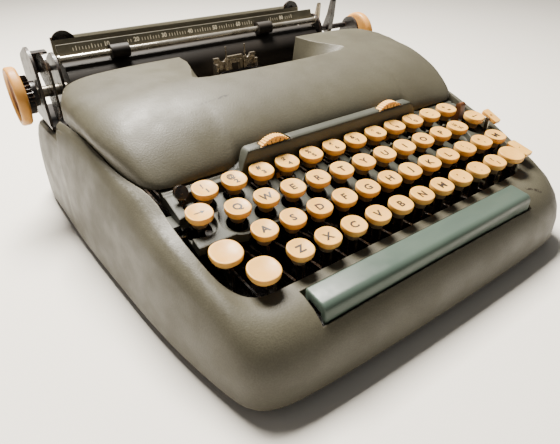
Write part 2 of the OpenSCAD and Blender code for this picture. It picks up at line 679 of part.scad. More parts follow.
module cover_shell(inset) {
  n = cover_last + 1;
  m = cover_cols + 1;
  top_points = [for (r = [0 : cover_last]) for (c = [0 : cover_cols]) cover_point(r, c, inset)];
  base_points = [for (r = [0 : cover_last]) for (c = [0 : cover_cols])
    let (p = cover_point(r, c, inset)) [p[0], p[1], 60]];
  points = concat(top_points, base_points);
  top_faces = [for (r = [0 : n - 2]) for (c = [0 : m - 2])
    each [[r * m + c, (r + 1) * m + c, (r + 1) * m + c + 1], [r * m + c, (r + 1) * m + c + 1, r * m + c + 1]]];
  base_faces = [for (f = top_faces) [n * m + f[0], n * m + f[2], n * m + f[1]]];
  rim = concat([for (c = [0 : m - 1]) c], [for (r = [1 : n - 1]) r * m + m - 1],
    [for (c = [m - 2 : -1 : 0]) (n - 1) * m + c], [for (r = [n - 2 : -1 : 1]) r * m]);
  sides = [for (i = [0 : len(rim) - 1]) let (j = (i + 1) % len(rim))
    each [[rim[i], rim[j], n * m + rim[i]], [rim[j], n * m + rim[j], n * m + rim[i]]]];
  polyhedron(points, concat(top_faces, base_faces, sides), convexity = 6);
}
// The cover's lower edge follows the casing's seam
module below_seam() {
  along_x(-200, 400) polygon([
    [cover_front_y - 20, 0], [cover_rear_y + 20, 0], [cover_rear_y + 20, seam_rear_z - 0.2],
    [52, seam_rear_z - 0.2], [-20, seam_front_z + 1.2], [cover_front_y - 20, seam_front_z - 0.2]]);
}
// Notch for the type: a scoop whose sides roll out from the cut edge to the cover's top.
// Each outline is half of the notch, as [share of its half width, distance from the cover's rear]
notch_top_z = 122;
notch_lip_z = 97;
notch_power = 1.3;
notch_steps = 8;
notch_run = 30;
notch_top = [[1, 0], [1.02, 15], [1.11, 26], [1.2, 34.5], [1.31, 43], [1.37, 47.5], [1.32, 50.8],
  [1.16, 53], [0.8, 54.8], [0.36, 55.7], [0, 56]];
notch_cut = [[0.93, 0], [0.92, 15], [0.9, 26], [0.89, 34], [0.87, 42], [0.85, 47.5], [0.81, 51],
  [0.75, 53], [0.59, 53.7], [0.29, 54], [0, 54]];
function notch_share(t, i) = lerp(notch_cut[i], notch_top[i], pow(t, notch_power));
function notch_point(t, i) = let (p = notch_share(t, i))
  [p[0] * notch_w / 2, cover_rear_y - p[1] * notch_d / 56];
function notch_grown(t, i, extra) =
  let (last = len(notch_top) - 1,
       d = notch_point(t, min(i + 1, last)) - notch_point(t, max(i - 1, 0)),
       p = notch_point(t, i) + extra * [-d[1], d[0]] / norm(d))
  [i == last ? 0 : p[0], p[1]];
function notch_ring(t, z, extra) = [for (s = [1, -1]) for (i = [0 : len(notch_top)])
  let (p = notch_grown(t, max(i - 1, 0), extra)) [s * p[0], i == 0 ? cover_rear_y + notch_run : p[1], z]];
module notch_scoop(extra, foot_z) {
  n = len(notch_top) + 1;
  rings = concat([notch_ring(0, foot_z, extra)], [for (k = [0 : notch_steps])
    notch_ring(k / notch_steps, lerp(notch_lip_z, notch_top_z, k / notch_steps) + 0.001, extra)]);
  last = len(rings) - 1;
  caps = [for (i = [0 : n - 2]) each [[i, n + i, n + i + 1], [i, n + i + 1, i + 1]]];
  top_caps = [for (f = caps) [last * 2 * n + f[0], last * 2 * n + f[2], last * 2 * n + f[1]]];
  walls = [for (k = [0 : last - 1]) for (i = [0 : n - 2]) let (a = k * 2 * n + i, b = a + 2 * n)
    each [[a, a + 1, b + 1], [a, b + 1, b], [a + n, b + n + 1, a + n + 1], [a + n, b + n, b + n + 1]]];
  rears = [for (k = [0 : last - 1]) let (a = k * 2 * n, b = a + 2 * n)
    each [[a, b, b + n], [a, b + n, a + n]]];
  polyhedron([for (r = rings) each r], concat(caps, top_caps, walls, rears), convexity = 6);
}
module ribbon_cover() {
  color(casing_paint) {
    difference() {
      cover_shell(0);
      difference() {
        translate([0, 0.01, 0]) cover_shell(sheet);
        notch_scoop(sheet, notch_lip_z);
      }
      below_seam();
      notch_scoop(0, notch_lip_z - 40);
      translate([-ridge_half_w - 5.8, -80, 60])
        cube([2 * ridge_half_w + 11.6, 80 + panel_rear_y + seam_gap, ridge_top_z - 60 + seam_gap]);
      translate([-300, cover_rear_y, 50]) cube([600, 50, 100]);
    }
  }
  color(dark_steel)
  for (s = [-1, 1]) {
    difference() {
      translate([s * (frame_x - 2.4) - 1.6, hinge_y - 5, hinge_z - 5]) cube([3.2, 9, 15.8]);
      rod_x(-150, 150, hinge_y, hinge_z, hinge_pin_r - 0.4, 32);
    }
    rod_x(s > 0 ? frame_x - 4.5 : -frame_x - frame_t, s > 0 ? frame_x + frame_t : -frame_x + 4.5,
      hinge_y, hinge_z, hinge_pin_r, 32);
  }
}

// Type basket: the bars stand in a curved segment and swing up to one point.
// It is drawn in a frame at that point, tilted so that the bars hang along -Z.
strike = [0, 87, 98];
basket_tilt = 33;
bar_count = 44;
bar_spread = 48;
bar_len = 57;
bar_rest = 16;
bar_t = 1.1;
ring_in_r = 50;
ring_out_r = 65;
slot_out_r = 61.5;
ring_front = 5;
ring_rear = 2.5;
guide_x = 60;
guide_y = 67;
guide_r = 2;
function fan_angle(i) = -bar_spread + 2 * bar_spread * i / (bar_count - 1);
module basket_frame() {
  translate(strike) rotate([-basket_tilt, 0, 0]) children();
}
module type_bar() {
  translate([0, 0, -bar_len]) rotate([bar_rest, 0, 0]) {
    translate([-bar_t / 2, -bar_len, -1.5]) cube([bar_t, bar_len - 4, 3.2]);
    translate([-bar_t / 2, -5, -2.5]) cube([bar_t, 5, 5]);
    translate([-1, -bar_len - 1.5, -2]) cube([2, 3, 8]);
  }
}
module type_bars() {
  color(bright_steel)
  basket_frame() for (i = [0 : bar_count - 1]) rotate([0, fan_angle(i), 0]) type_bar();
}
module type_segment() {
  color(dark_steel) {
    basket_frame() difference() {
      rotate([90, 0, 0]) rotate([0, 0, -90 - bar_spread - 6]) translate([0, 0, -ring_rear])
        rotate_extrude(angle = 2 * bar_spread + 12, $fn = 96)
          translate([ring_in_r, 0]) square([ring_out_r - ring_in_r, ring_front + ring_rear]);
      for (i = [0 : bar_count - 1]) rotate([0, fan_angle(i), 0])
        translate([-bar_t / 2 - 0.2, -10, -slot_out_r]) cube([bar_t + 0.4, 20, slot_out_r - ring_in_r + 1]);
    }
    for (s = [-1, 1]) difference() {
      translate([s * (guide_x - 4) - 9, guide_y - 4, 62]) cube([18, 8, 6]);
      translate([s * guide_x, guide_y, 50]) cylinder(r = guide_r + run_gap, h = 30, $fn = 32);
    }
  }
}
// Cross bar with the guide for the type and the two rods of the shifting basket
guide_front = strike[1] - 10;
guide_plate_y = strike[1] - 6;
guide_half_w = 20;
guide_top_z = 107;
module type_guide() {
  color(bright_steel) {
    difference() {
      union() {
        translate([-guide_half_w, guide_plate_y, 80]) cube([2 * guide_half_w, 2, guide_top_z - 80]);
        translate([-6.5, guide_plate_y - 1, 95.2]) cube([13, 1.5, 8.8]);
        for (s = [-1, 1]) translate([s * (guide_half_w - 1) - 1, guide_plate_y - 4, 86])
          cube([2, 5, guide_top_z - 90]);
      }
      translate([-4, guide_plate_y - 4, 93.5]) cube([8, 10, 8]);
      for (s = [-1, 1]) translate([s * 11, guide_plate_y - 4, guide_top_z + 0.5]) rotate([-90, 0, 0])
        cylinder(r = 4, h = 10, $fn = 40);
      for (s = [-1, 1]) translate([s * 15.5, guide_plate_y - 4, 94]) rotate([-90, 0, 0])
        cylinder(r = 2, h = 10, $fn = 32);
    }
    translate([-guide_half_w, guide_front, 78]) cube([2 * guide_half_w, guide_plate_y + 2 - guide_front, 4]);
    for (s = [-1, 1]) translate([s * 13 - 3, guide_front, 68]) cube([6, 3, 12]);
    translate([-frame_x + 0.1, guide_front, 62]) cube([2 * frame_x - 0.2, 3, 7]);
    for (s = [-1, 1]) {
      along_x(s * guide_x - 3, 6) polygon([
        [guide_y - 3, 48], [guide_front + 3, 48], [guide_front + 3, 75], [guide_y - 3, 75],
        [guide_y - 3, 72], [guide_front, 72], [guide_front, 51], [guide_y - 3, 51]]);
      translate([s * guide_x, guide_y, 49]) cylinder(r = guide_r, h = 25, $fn = 32);
    }
  }
}
vibrator_y = guide_plate_y - 1.5;
vibrator_z = 82.4;
module ribbon_vibrator() {
  color(bright_steel) {
    for (s = [-1, 1]) translate([s * 9 - 1.5, vibrator_y, vibrator_z]) cube([3, 1.2, 23]);
    translate([-10.5, vibrator_y, vibrator_z]) cube([21, 1.2, 4]);
    for (s = [-1, 1]) translate([s * 9, vibrator_y + 0.6, vibrator_z + 22]) cylinder(r = 0.55, h = 11, $fn = 16);
  }
}
spool_x = 92;
spool_y = 15;
spool_z = 85;
spool_r = 23;
spool_h = 15;
module ribbon_spool(s) {
  color(dark_steel)
  translate([s * spool_x, spool_y, spool_z]) difference() {
    rotate_extrude($fn = 64) polygon([[0, 0], [spool_r, 0], [spool_r, 1], [7, 1.4], [7, spool_h - 1.4],
      [spool_r, spool_h - 1], [spool_r, spool_h], [0, spool_h]]);
    translate([0, 0, -1]) cylinder(r = 2 + run_gap, h = spool_h + 2, $fn = 24);
    for (a = [0 : 60 : 359]) rotate([0, 0, a]) translate([14, 0, spool_h - 2]) cylinder(r = 3.4, h = 3, $fn = 24);
  }
}
module ribbon_spool_left() { ribbon_spool(-1); }
module ribbon_spool_right() { ribbon_spool(1); }
post_gap = 0.3;
post_plate_y0 = spool_y - 7;
module spool_posts() {
  color(bright_steel)
  for (s = [-1, 1]) {
    translate([s > 0 ? spool_x - 22 : -frame_x + 0.1, post_plate_y0, spool_z - post_gap - 2])
      cube([frame_x - 0.1 - spool_x + 22, 24, 2]);
    translate([s > 0 ? frame_x - 2.1 : -frame_x + 0.1, post_plate_y0, 44]) cube([2, 24, spool_z - post_gap - 44]);
    translate([s * spool_x, spool_y, spool_z - post_gap - 1]) cylinder(r = 2, h = spool_h + 3, $fn = 32);
  }
}
// Ribbon: a wound pack on each spool and the band between them past the type guide
pack_r = 17;
ribbon_t = 0.3;
ribbon_z = spool_z + 2;
ribbon_h = spool_h - 6;
ribbon_half = 12;
ribbon_y = vibrator_y - 0.5;
module band(p, q) {
  d = [q[0] - p[0], q[1] - p[1]];
  translate([p[0], p[1], ribbon_z]) rotate([0, 0, atan2(d[1], d[0])])
    translate([0, -ribbon_t / 2, 0]) cube([norm(d), ribbon_t, ribbon_h]);
}
module ink_ribbon() {
  color([0.06, 0.05, 0.08]) {
    for (s = [-1, 1]) translate([s * spool_x, spool_y, ribbon_z]) difference() {
      cylinder(r = pack_r, h = ribbon_h, $fn = 64);
      translate([0, 0, -1]) cylinder(r = 7 + pass_gap, h = spool_h, $fn = 48);
    }
    for (s = [-1, 1]) band([s * (spool_x - 9), spool_y + 13.8], [s * ribbon_half, ribbon_y]);
    band([-ribbon_half - 0.1, ribbon_y], [ribbon_half + 0.1, ribbon_y]);
  }
}

// Carriage: slides sideways on the rail with all that it carries
platen_x = -15;
plate_t = 2;
left_plate_x = platen_x - platen_w / 2 - 6;
right_plate_x = platen_x + platen_w / 2 + 3;
tray_z = rail_z + 2.3;
tray_t = 2;
tray_y0 = 90;
tray_y1 = 142;
knob_x = knob_out - left_plate_x;
leaf_x = left_plate_x - 8.5;
outer_left_x = left_plate_x - 15;
ratchet_t = 4;
ratchet_x = -knob_x + knob_t + 2 * pass_gap;
ratchet_hub = outer_left_x - 2 * pass_gap - ratchet_x - ratchet_t;
outer_right_x = knob_x - knob_t - 8;
module carriage_frame() {
  color(dark_steel) {
    difference() {
      translate([outer_left_x, tray_y0, tray_z])
        cube([outer_right_x + plate_t - outer_left_x, tray_y1 - tray_y0, tray_t]);
      for (i = [0 : 5]) translate([left_plate_x + 14 + i * 38, tray_y0 + 8, tray_z - 1]) cube([30, 20, tray_t + 2]);
    }
    along_x(left_plate_x + 10, right_plate_x + 20 - left_plate_x) difference() {
      translate([rail_y - rail_w / 2 - 2.3, rail_z - 2.8]) square([rail_w + 4.6, tray_z - rail_z + 3]);
      translate([rail_y - rail_w / 2 - 0.3, rail_z - 5]) square([rail_w + 0.6, 5.3]);
    }
  }
}
module end_plate(x) {
  along_x(x, plate_t) difference() {
    hull() {
      translate([platen_y, platen_z + 12]) circle(r = 14, $fn = 48);
      translate([bail_pivot_y, bail_pivot_z]) circle(r = 6, $fn = 48);
      translate([platen_y - 16, tray_z + tray_t]) square([40, 10]);
    }
    translate([platen_y, platen_z]) circle(r = shaft_r + run_gap, $fn = 48);
    translate([bail_pivot_y, bail_pivot_z]) circle(r = 2 + run_gap, $fn = 32);
  }
}
bail_pivot_y = platen_y + 14;
bail_pivot_z = platen_z + 14;
return_x = leaf_x;
return_y = platen_y + 14;
return_z = platen_z + 18;
return_pin_r = 2;
release_y = platen_y + 8;
release_z = platen_z + 9;
release_r = 2.5;
module outer_left_plate() {
  along_x(outer_left_x, plate_t) difference() {
    hull() {
      translate([platen_y + 4, platen_z + 15]) circle(r = 16, $fn = 64);
      translate([platen_y + 25, platen_z + 14]) circle(r = 9, $fn = 48);
      translate([platen_y - 14, tray_z + tray_t]) square([48, 6]);
    }
    translate([platen_y, platen_z]) circle(r = shaft_r + run_gap, $fn = 48);
  }
}
module end_plate_left() {
  color(dark_steel) {
    end_plate(left_plate_x);
    for (z = [return_z - 7, return_z + 5.3])
      translate([outer_left_x + 1, return_y - 4, z]) cube([left_plate_x - outer_left_x - 0.8, 8, 1.7]);
    outer_left_plate();
    translate([return_x, return_y, return_z - 6]) cylinder(r = return_pin_r, h = 12, $fn = 32);
  }
}
module end_plate_right() {
  color(dark_steel) {
    end_plate(right_plate_x);
    along_x(outer_right_x, plate_t) difference() {
      hull() {
        translate([platen_y, platen_z + 6]) circle(r = 12, $fn = 48);
        translate([platen_y - 14, tray_z + tray_t]) square([36, 6]);
      }
      translate([platen_y, platen_z]) circle(r = shaft_r + run_gap, $fn = 48);
    }
    rod_x(right_plate_x + 1, outer_right_x + 1, release_y, release_z, release_r, 32);
  }
}
cradle_gap = 1.2;
cradle_t = 1.8;
module paper_table() {
  color(casing_paint) {
    along_x(left_plate_x + plate_t + 4, right_plate_x - left_plate_x - plate_t - 8) difference() {
      union() {
        translate([platen_y, platen_z]) intersection() {
          circle(r = platen_r + cradle_gap + cradle_t, $fn = 96);
          polygon([[-4, -60], [60, -60], [60, 9], [-4, 9]]);
        }
        polygon([[platen_y + 15.6, platen_z + 8], [platen_y + 18.1, platen_z + 8],
          [platen_y + 20.6, 129.5], [platen_y + 18.6, 130.2], [platen_y + 17.6, 128]]);
        translate([platen_y + 2, tray_z + tray_t + 0.05]) square([14, 4]);
      }
      translate([platen_y, platen_z]) circle(r = platen_r + cradle_gap, $fn = 96);
    }
    for (s = [-1, 1]) translate([platen_x + s * (platen_w / 2 - 9), platen_y + 17.6, 124])
      rotate([-90, 0, 0]) difference() {
        hull() {
          translate([0, -1, 0]) cylinder(r = 9, h = 2, $fn = 48);
          translate([-9, 4, 0]) cube([18, 2, 2]);
        }
        translate([0, -3, -1]) cylinder(r = 3, h = 4, $fn = 32);
      }
  }
}
module platen() {
  color(black_rubber)
  difference() {
    rod_x(platen_x - platen_w / 2, platen_x + platen_w / 2, platen_y, platen_z, platen_r, 96);
    rod_x(-300, 300, platen_y, platen_z, shaft_r, 48);
  }
}
module platen_shaft() {
  color(bright_steel)
  rod_x(-knob_x + knob_web, knob_x - knob_web, platen_y, platen_z, shaft_r, 48);
}
knob_web = 4.5;
module knob(s) {
  color(cream)
  translate([s * knob_x, platen_y, platen_z]) rotate([0, -s * 90, 0]) difference() {
    rotate_extrude($fn = 96) polygon([[0, knob_web], [shaft_r + 2.5, knob_web], [knob_d / 2 - 4, 0.9],
      [knob_d / 2 - 2.6, 0], [knob_d / 2 - 0.9, 0.2], [knob_d / 2, 1.2], [knob_d / 2 - 0.3, knob_t - 1.2],
      [knob_d / 2 - 1.4, knob_t], [0, knob_t]]);
    translate([0, 0, knob_web - 1]) cylinder(r = shaft_r, h = 30, $fn = 48);
  }
}
module knob_left() { knob(-1); }
module knob_right() { knob(1); }
ratchet_teeth = 30;
module line_space_ratchet() {
  color(dark_steel)
  translate([ratchet_x, platen_y, platen_z]) rotate([0, 90, 0]) difference() {
    union() {
      linear_extrude(ratchet_t) polygon([for (i = [0 : ratchet_teeth - 1]) for (k = [0, 1])
        let (a = 360 * (i + (k == 0 ? 0 : 0.85)) / ratchet_teeth, r = k == 0 ? 11.6 : 13.6)
          [r * cos(a), r * sin(a)]]);
      translate([0, 0, ratchet_t]) cylinder(r = 9, h = ratchet_hub, $fn = 48);
    }
    translate([0, 0, -1]) cylinder(r = shaft_r, h = 30, $fn = 48);
  }
}
bail_y = platen_y - 6;
bail_rod_z = platen_z + 21.8;
bail_rod_r = 2.2;
bail_roller_r = 5.1;
bail_x0 = left_plate_x + plate_t + 1;
bail_x1 = right_plate_x - 1;
module paper_bail() {
  color(bright_steel) {
    rod_x(bail_x0, bail_x1, bail_y, bail_rod_z, bail_rod_r, 32);
    for (x = [bail_x0, bail_x1 - 1.6]) along_x(x, 1.6) hull() {
      translate([bail_y, bail_rod_z]) circle(r = 3.2, $fn = 32);
      translate([bail_pivot_y, bail_pivot_z]) circle(r = 3.6, $fn = 32);
    }
    rod_x(left_plate_x + 0.5, bail_x0 + 1, bail_pivot_y, bail_pivot_z, 2, 32);
    rod_x(bail_x1 - 1, right_plate_x + plate_t + 1, bail_pivot_y, bail_pivot_z, 2, 32);
  }
}
scale_y = bail_y + 3.6;
module bail_scale() {
  color(dark_steel)
  difference() {
    along_x(bail_x0 + 1.7, bail_x1 - bail_x0 - 3.4) polygon([
      [bail_y + bail_rod_r + 0.05, bail_rod_z], [bail_y + bail_rod_r + 1.2, bail_rod_z],
      [scale_y + 2.8, bail_rod_z + 8.6], [scale_y + 1.6, bail_rod_z + 8.6]]);
    for (x = roller_x)
      rod_x(x - roller_w / 2 - 0.8, x + roller_w / 2 + 0.8, bail_y, bail_rod_z, bail_roller_r + 0.6, 40);
  }
}
roller_x = [-88, 43];
roller_w = 14;
module bail_rollers() {
  color(black_rubber)
  for (x = roller_x) difference() {
    rod_x(x - roller_w / 2, x + roller_w / 2, bail_y, bail_rod_z, bail_roller_r, 40);
    rod_x(x - roller_w, x + roller_w, bail_y, bail_rod_z, bail_rod_r + run_gap, 32);
  }
}
// The lever's leaf as circles along it: place from the platen axis, and radius
leaf = [[13, 18, 3.6], [3, 18, 6], [-16, 16, 15], [-20, -2, 11], [-15, -13, 4.5]];
module return_lever() {
  color(dark_steel)
  difference() {
    union() {
      translate([return_x, return_y, return_z - 5]) cylinder(r = return_pin_r + 2, h = 10, $fn = 40);
      along_x(return_x - 0.8, 1.6) for (i = [0 : len(leaf) - 2]) hull() {
        translate([platen_y + leaf[i][0], platen_z + leaf[i][1]]) circle(r = leaf[i][2], $fn = 40);
        translate([platen_y + leaf[i + 1][0], platen_z + leaf[i + 1][1]]) circle(r = leaf[i + 1][2], $fn = 40);
      }
    }
    translate([return_x, return_y, return_z - 10]) cylinder(r = return_pin_r + run_gap, h = 20, $fn = 32);
  }
}
module end_lever(x, width, top_z, lean) {
  difference() {
    along_x(x - width / 2, width) union() {
      hull() {
        translate([release_y, release_z]) circle(r = 4.6, $fn = 32);
        translate([release_y - lean * 0.6, release_z + 12]) circle(r = 3, $fn = 32);
      }
      hull() {
        translate([release_y - lean * 0.6, release_z + 12]) circle(r = 3, $fn = 32);
        translate([release_y - lean, top_z - 1.6]) circle(r = 1.6, $fn = 32);
      }
    }
    rod_x(x - 10, x + 10, release_y, release_z, release_r + run_gap, 32);
  }
}
module paper_release_lever() { color(bright_steel) end_lever(113, 2.4, 132.5, 6); }
module carriage_release_lever() { color(dark_steel) end_lever(130, 5, 134, 7); }

lower_casing();
base_pan();
rubber_feet();
case_screws();
keyboard_panel();
side_frames();
key_fulcrum_rod();
key_comb();
carriage_rail();
type_guide();
motor();
drive_belt();
power_inlet();
ribbon_cover();
ribbon_spool_left();
ribbon_spool_right();
ribbon_vibrator();
type_segment();
type_bars();
keycaps_row_1();
keycaps_row_2();
keycaps_row_3();
keycaps_row_4();
key_levers_row_1();
key_levers_row_2();
key_levers_row_3();
key_levers_row_4();
tab_key();
backspace_key();
margin_release_key();
shift_lock_key();
left_shift_key();
right_shift_key();
tab_set_key();
tab_clear_key();
space_bar();
space_bar_arms();
thumbwheel_left();
thumbwheel_right();
ribbon_selector();
power_switch();
power_roll();
motor_pulley();
carriage_frame();
end_plate_left();
end_plate_right();
paper_table();
platen();
platen_shaft();
knob_left();
knob_right();
line_space_ratchet();
paper_bail();
bail_scale();
bail_rollers();
return_lever();
paper_release_lever();
carriage_release_lever();
spool_posts();
ink_ribbon();
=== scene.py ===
"""Looks of the electric typewriter: painted housing, cream keys, carriage, light and camera."""

import json
import math

import bmesh
import bpy
from mathutils import Matrix, Vector
from mathutils.bvhtree import BVHTree


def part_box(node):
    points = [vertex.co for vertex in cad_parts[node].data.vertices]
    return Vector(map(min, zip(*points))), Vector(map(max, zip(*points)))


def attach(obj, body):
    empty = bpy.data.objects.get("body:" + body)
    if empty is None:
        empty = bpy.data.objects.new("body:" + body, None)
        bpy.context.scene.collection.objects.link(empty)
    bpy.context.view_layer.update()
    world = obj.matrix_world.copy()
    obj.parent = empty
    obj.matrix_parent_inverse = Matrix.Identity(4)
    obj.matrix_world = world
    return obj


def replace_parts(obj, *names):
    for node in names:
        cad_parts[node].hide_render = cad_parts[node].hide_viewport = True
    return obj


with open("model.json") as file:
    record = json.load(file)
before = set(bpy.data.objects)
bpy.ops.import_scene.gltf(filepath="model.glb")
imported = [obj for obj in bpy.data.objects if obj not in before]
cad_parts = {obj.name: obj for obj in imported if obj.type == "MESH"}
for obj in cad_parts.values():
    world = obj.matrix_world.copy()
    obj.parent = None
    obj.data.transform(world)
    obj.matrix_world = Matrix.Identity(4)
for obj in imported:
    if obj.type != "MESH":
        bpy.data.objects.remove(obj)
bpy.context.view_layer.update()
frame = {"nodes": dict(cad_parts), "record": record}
nodes = frame["nodes"]
mm = 0.001


# Finishes

noise_roughness = 0.55
bevel_samples = 4
# Dark colour for paint chips and for painted shadow strokes
grime_and_shadow = (34, 28, 24)
yellow_speck = (150, 112, 70)
old_rust = (96, 62, 38)
brown_dust = (56, 44, 35)


def rgb(red, green, blue):
    """A colour from 0 to 255 as screens show it, made linear."""
    return tuple((c / 255) ** 2.2 for c in (red, green, blue)) + (1.0,)


class Finish:
    """One material, with short names for the shader nodes that it is built from."""

    def __init__(self, name, roughness=0.5, metallic=0.0, specular=0.5, coat=0.0, edge=0.3 * mm):
        self.material = bpy.data.materials.new(name)
        self.material.use_nodes = True
        self.tree = self.material.node_tree
        self.shader = self.tree.nodes["Principled BSDF"]
        self.shader.inputs["Roughness"].default_value = roughness
        self.shader.inputs["Metallic"].default_value = metallic
        self.shader.inputs["Specular IOR Level"].default_value = specular
        self.shader.inputs["Coat Weight"].default_value = coat
        self.shader.inputs["Coat Roughness"].default_value = 0.15
        self.place = self.tree.nodes.new("ShaderNodeTexCoord").outputs["Object"]
        self.rounded = self.bevel(edge)

    def add(self, kind, inputs, **settings):
        """A shader node. A socket takes a value, or is linked to another node's output."""
        made = self.tree.nodes.new(kind)
        for key, value in settings.items():
            setattr(made, key, value)
        for key, value in inputs.items():
            if isinstance(value, bpy.types.NodeSocket):
                self.tree.links.new(value, made.inputs[key])
            else:
                made.inputs[key].default_value = value
        return made

    def bevel(self, radius):
        """The normal as it would be with edges rounded by this radius."""
        return self.add("ShaderNodeBevel", {"Radius": radius}, samples=bevel_samples).outputs[0]

    def stretched(self, x, y, z):
        """The place on the piece, squeezed or stretched along each axis."""
        return self.add("ShaderNodeMapping", {"Vector": self.place, "Scale": (x, y, z)}).outputs[0]

    def noise(self, size, detail=3.0, place=None, distortion=0.0):
        """Cloudy noise whose blobs are about size metres wide."""
        made = self.add(
            "ShaderNodeTexNoise",
            {
                "Vector": place or self.place,
                "Scale": 1 / size,
                "Detail": detail,
                "Distortion": distortion,
                "Roughness": noise_roughness,
            },
        )
        return made.outputs["Fac"]

    def between(self, value, low, high, start=0.0, end=1.0):
        """Value from low to high becomes start to end, smoothly, and stays there outside."""
        made = self.add(
            "ShaderNodeMapRange",
            {"Value": value, "From Min": low, "From Max": high, "To Min": start, "To Max": end},
            interpolation_type="SMOOTHSTEP",
        )
        return made.outputs["Result"]

    def calc(self, kind, a, b):
        """One step of arithmetic on two values."""
        return self.add("ShaderNodeMath", {0: a, 1: b}, operation=kind).outputs[0]

    def mix(self, share, a, b, blend="MIX"):
        """Colour a turning to colour b as share goes from 0 to 1."""
        made = self.add("ShaderNodeMix", {0: share, 6: a, 7: b}, data_type="RGBA", blend_type=blend)
        return made.outputs[2]

    def vector(self, kind, a, b, output="Value"):
        """One step of arithmetic on two vectors."""
        return self.add("ShaderNodeVectorMath", {0: a, 1: b}, operation=kind).outputs[output]

    def edges(self, reach):
        """Near 1 on outer edges, where paint and plating wear first."""
        flat = self.add("ShaderNodeNewGeometry", {}).outputs["Normal"]
        return self.between(self.vector("DOT_PRODUCT", self.bevel(reach), flat), 0.995, 0.86)

    def stroke(self, start, end, width):
        """1 along a straight line on the piece at rest, falling to 0 at width metres from it."""
        run = end - start
        away = self.vector("SUBTRACT", self.place, tuple(start), "Vector")
        share = self.vector("DOT_PRODUCT", away, tuple(run / run.length_squared))
        held = self.add("ShaderNodeClamp", {"Value": share}).outputs[0]
        scaled = self.add("ShaderNodeVectorMath", {0: tuple(run), "Scale": held}, operation="SCALE")
        gap = self.vector("DISTANCE", away, scaled.outputs[0])
        return self.between(gap, width * 0.3, width, 1.0, 0.0)

    def color(self, value):
        """This colour is the material's base colour."""
        self.tree.links.new(value, self.shader.inputs["Base Color"])

    def gloss(self, value):
        """This value is the material's roughness."""
        self.tree.links.new(value, self.shader.inputs["Roughness"])

    def relief(self, *layers):
        """Bumps laid over each other. Each is a height and its depth in metres."""
        normal = self.rounded
        for height, depth in layers:
            inputs = {"Height": height, "Distance": depth, "Normal": normal}
            normal = self.add("ShaderNodeBump", inputs).outputs[0]
        self.tree.links.new(normal, self.shader.inputs["Normal"])


def wrinkle_paint(name, face, shade, worn, grain=0.9 * mm, roughness=0.46, dark_marks=(), edge=0.8 * mm):
    """Satin housing paint with a fine pebbled grain, rubbed edges, and the dark strokes it is
    given: paint chips, and painted shadow.
    """
    finish = Finish(name, roughness, specular=0.3, edge=edge)
    cloud = finish.noise(55 * mm, 4.0)
    fine = finish.noise(grain, 2.0)
    tone = finish.mix(finish.between(cloud, 0.35, 0.65), face, shade)
    speck = finish.between(fine, 0.3, 0.72, 0.90, 1.07)
    grains = finish.add("ShaderNodeCombineColor", {0: speck, 1: speck, 2: speck}).outputs[0]
    tone = finish.mix(1.0, tone, grains, "MULTIPLY")
    patchy = finish.between(finish.noise(7 * mm), 0.42, 0.62)
    rubbed = finish.calc("MULTIPLY", finish.edges(1.6 * mm), patchy)
    tone = finish.mix(finish.calc("MULTIPLY", rubbed, 0.55), tone, worn)
    ragged = finish.between(finish.noise(2.2 * mm), 0.40, 0.56)
    # Each stroke darkens the paint towards one dark colour, used both for paint chips and for
    # painted shadow.
    for start, end, width, depth in dark_marks:
        spot = finish.calc("MULTIPLY", finish.stroke(start, end, width), ragged)
        tone = finish.mix(finish.calc("MULTIPLY", spot, depth), tone, rgb(*grime_and_shadow))
    finish.color(tone)
    patches = finish.noise(18 * mm)
    finish.gloss(finish.between(patches, 0.3, 0.7, roughness - 0.06, roughness + 0.08))
    finish.relief((fine, 0.11 * mm), (cloud, 0.04 * mm))
    return finish.material


def key_plastic(name, face, shade, roughness=0.34):
    """Moulded cream plastic that has yellowed unevenly, with fine brown specks."""
    finish = Finish(name, roughness, specular=0.28, edge=0.5 * mm)
    cloud = finish.noise(16 * mm, 3.0)
    speck = finish.between(finish.noise(0.9 * mm, 2.0), 0.68, 0.76)
    tone = finish.mix(finish.between(cloud, 0.3, 0.7), face, shade)
    tone = finish.mix(finish.calc("MULTIPLY", speck, 0.22), tone, rgb(*yellow_speck))
    finish.color(tone)
    finish.gloss(finish.between(finish.noise(5 * mm), 0.3, 0.7, roughness - 0.05, roughness + 0.12))
    finish.shader.inputs["Subsurface Weight"].default_value = 0.12
    finish.shader.inputs["Subsurface Scale"].default_value = 1.5 * mm
    finish.relief((finish.noise(0.35 * mm, 2.0), 0.012 * mm))
    return finish.material


def bar_plastic(name):
    """Green moulded plastic, clouded along its length and polished in patches by thumbs."""
    finish = Finish(name, specular=0.22, edge=0.5 * mm)
    along = finish.stretched(0.25, 1.0, 1.0)
    cloud = finish.noise(14 * mm, 3.0, along)
    tone = finish.mix(finish.between(cloud, 0.3, 0.7), rgb(74, 86, 78), rgb(68, 80, 73))
    finish.color(tone)
    finish.gloss(finish.between(finish.noise(9 * mm), 0.3, 0.7, 0.28, 0.38))
    finish.relief((finish.noise(2.5 * mm, 2.0), 0.006 * mm))
    return finish.material


def steel(name, face, shade, roughness, rust):
    """Steel drawn or turned along one way, with stains where hands and oil have been."""
    finish = Finish(name, roughness, metallic=1.0, edge=0.25 * mm)
    lines = finish.noise(1.2 * mm, 2.0, finish.stretched(1.0, 1.0, 14.0))
    stain = finish.between(finish.noise(9 * mm, 4.0), 0.42, 0.68)
    tone = finish.mix(stain, face, shade)
    brown = finish.between(finish.noise(4 * mm, 4.0), 0.56, 0.70)
    tone = finish.mix(finish.calc("MULTIPLY", brown, rust), tone, rgb(*old_rust))
    finish.color(tone)
    finish.gloss(finish.between(stain, 0.0, 1.0, roughness, roughness + 0.16))
    finish.relief((lines, 0.015 * mm))
    return finish.material


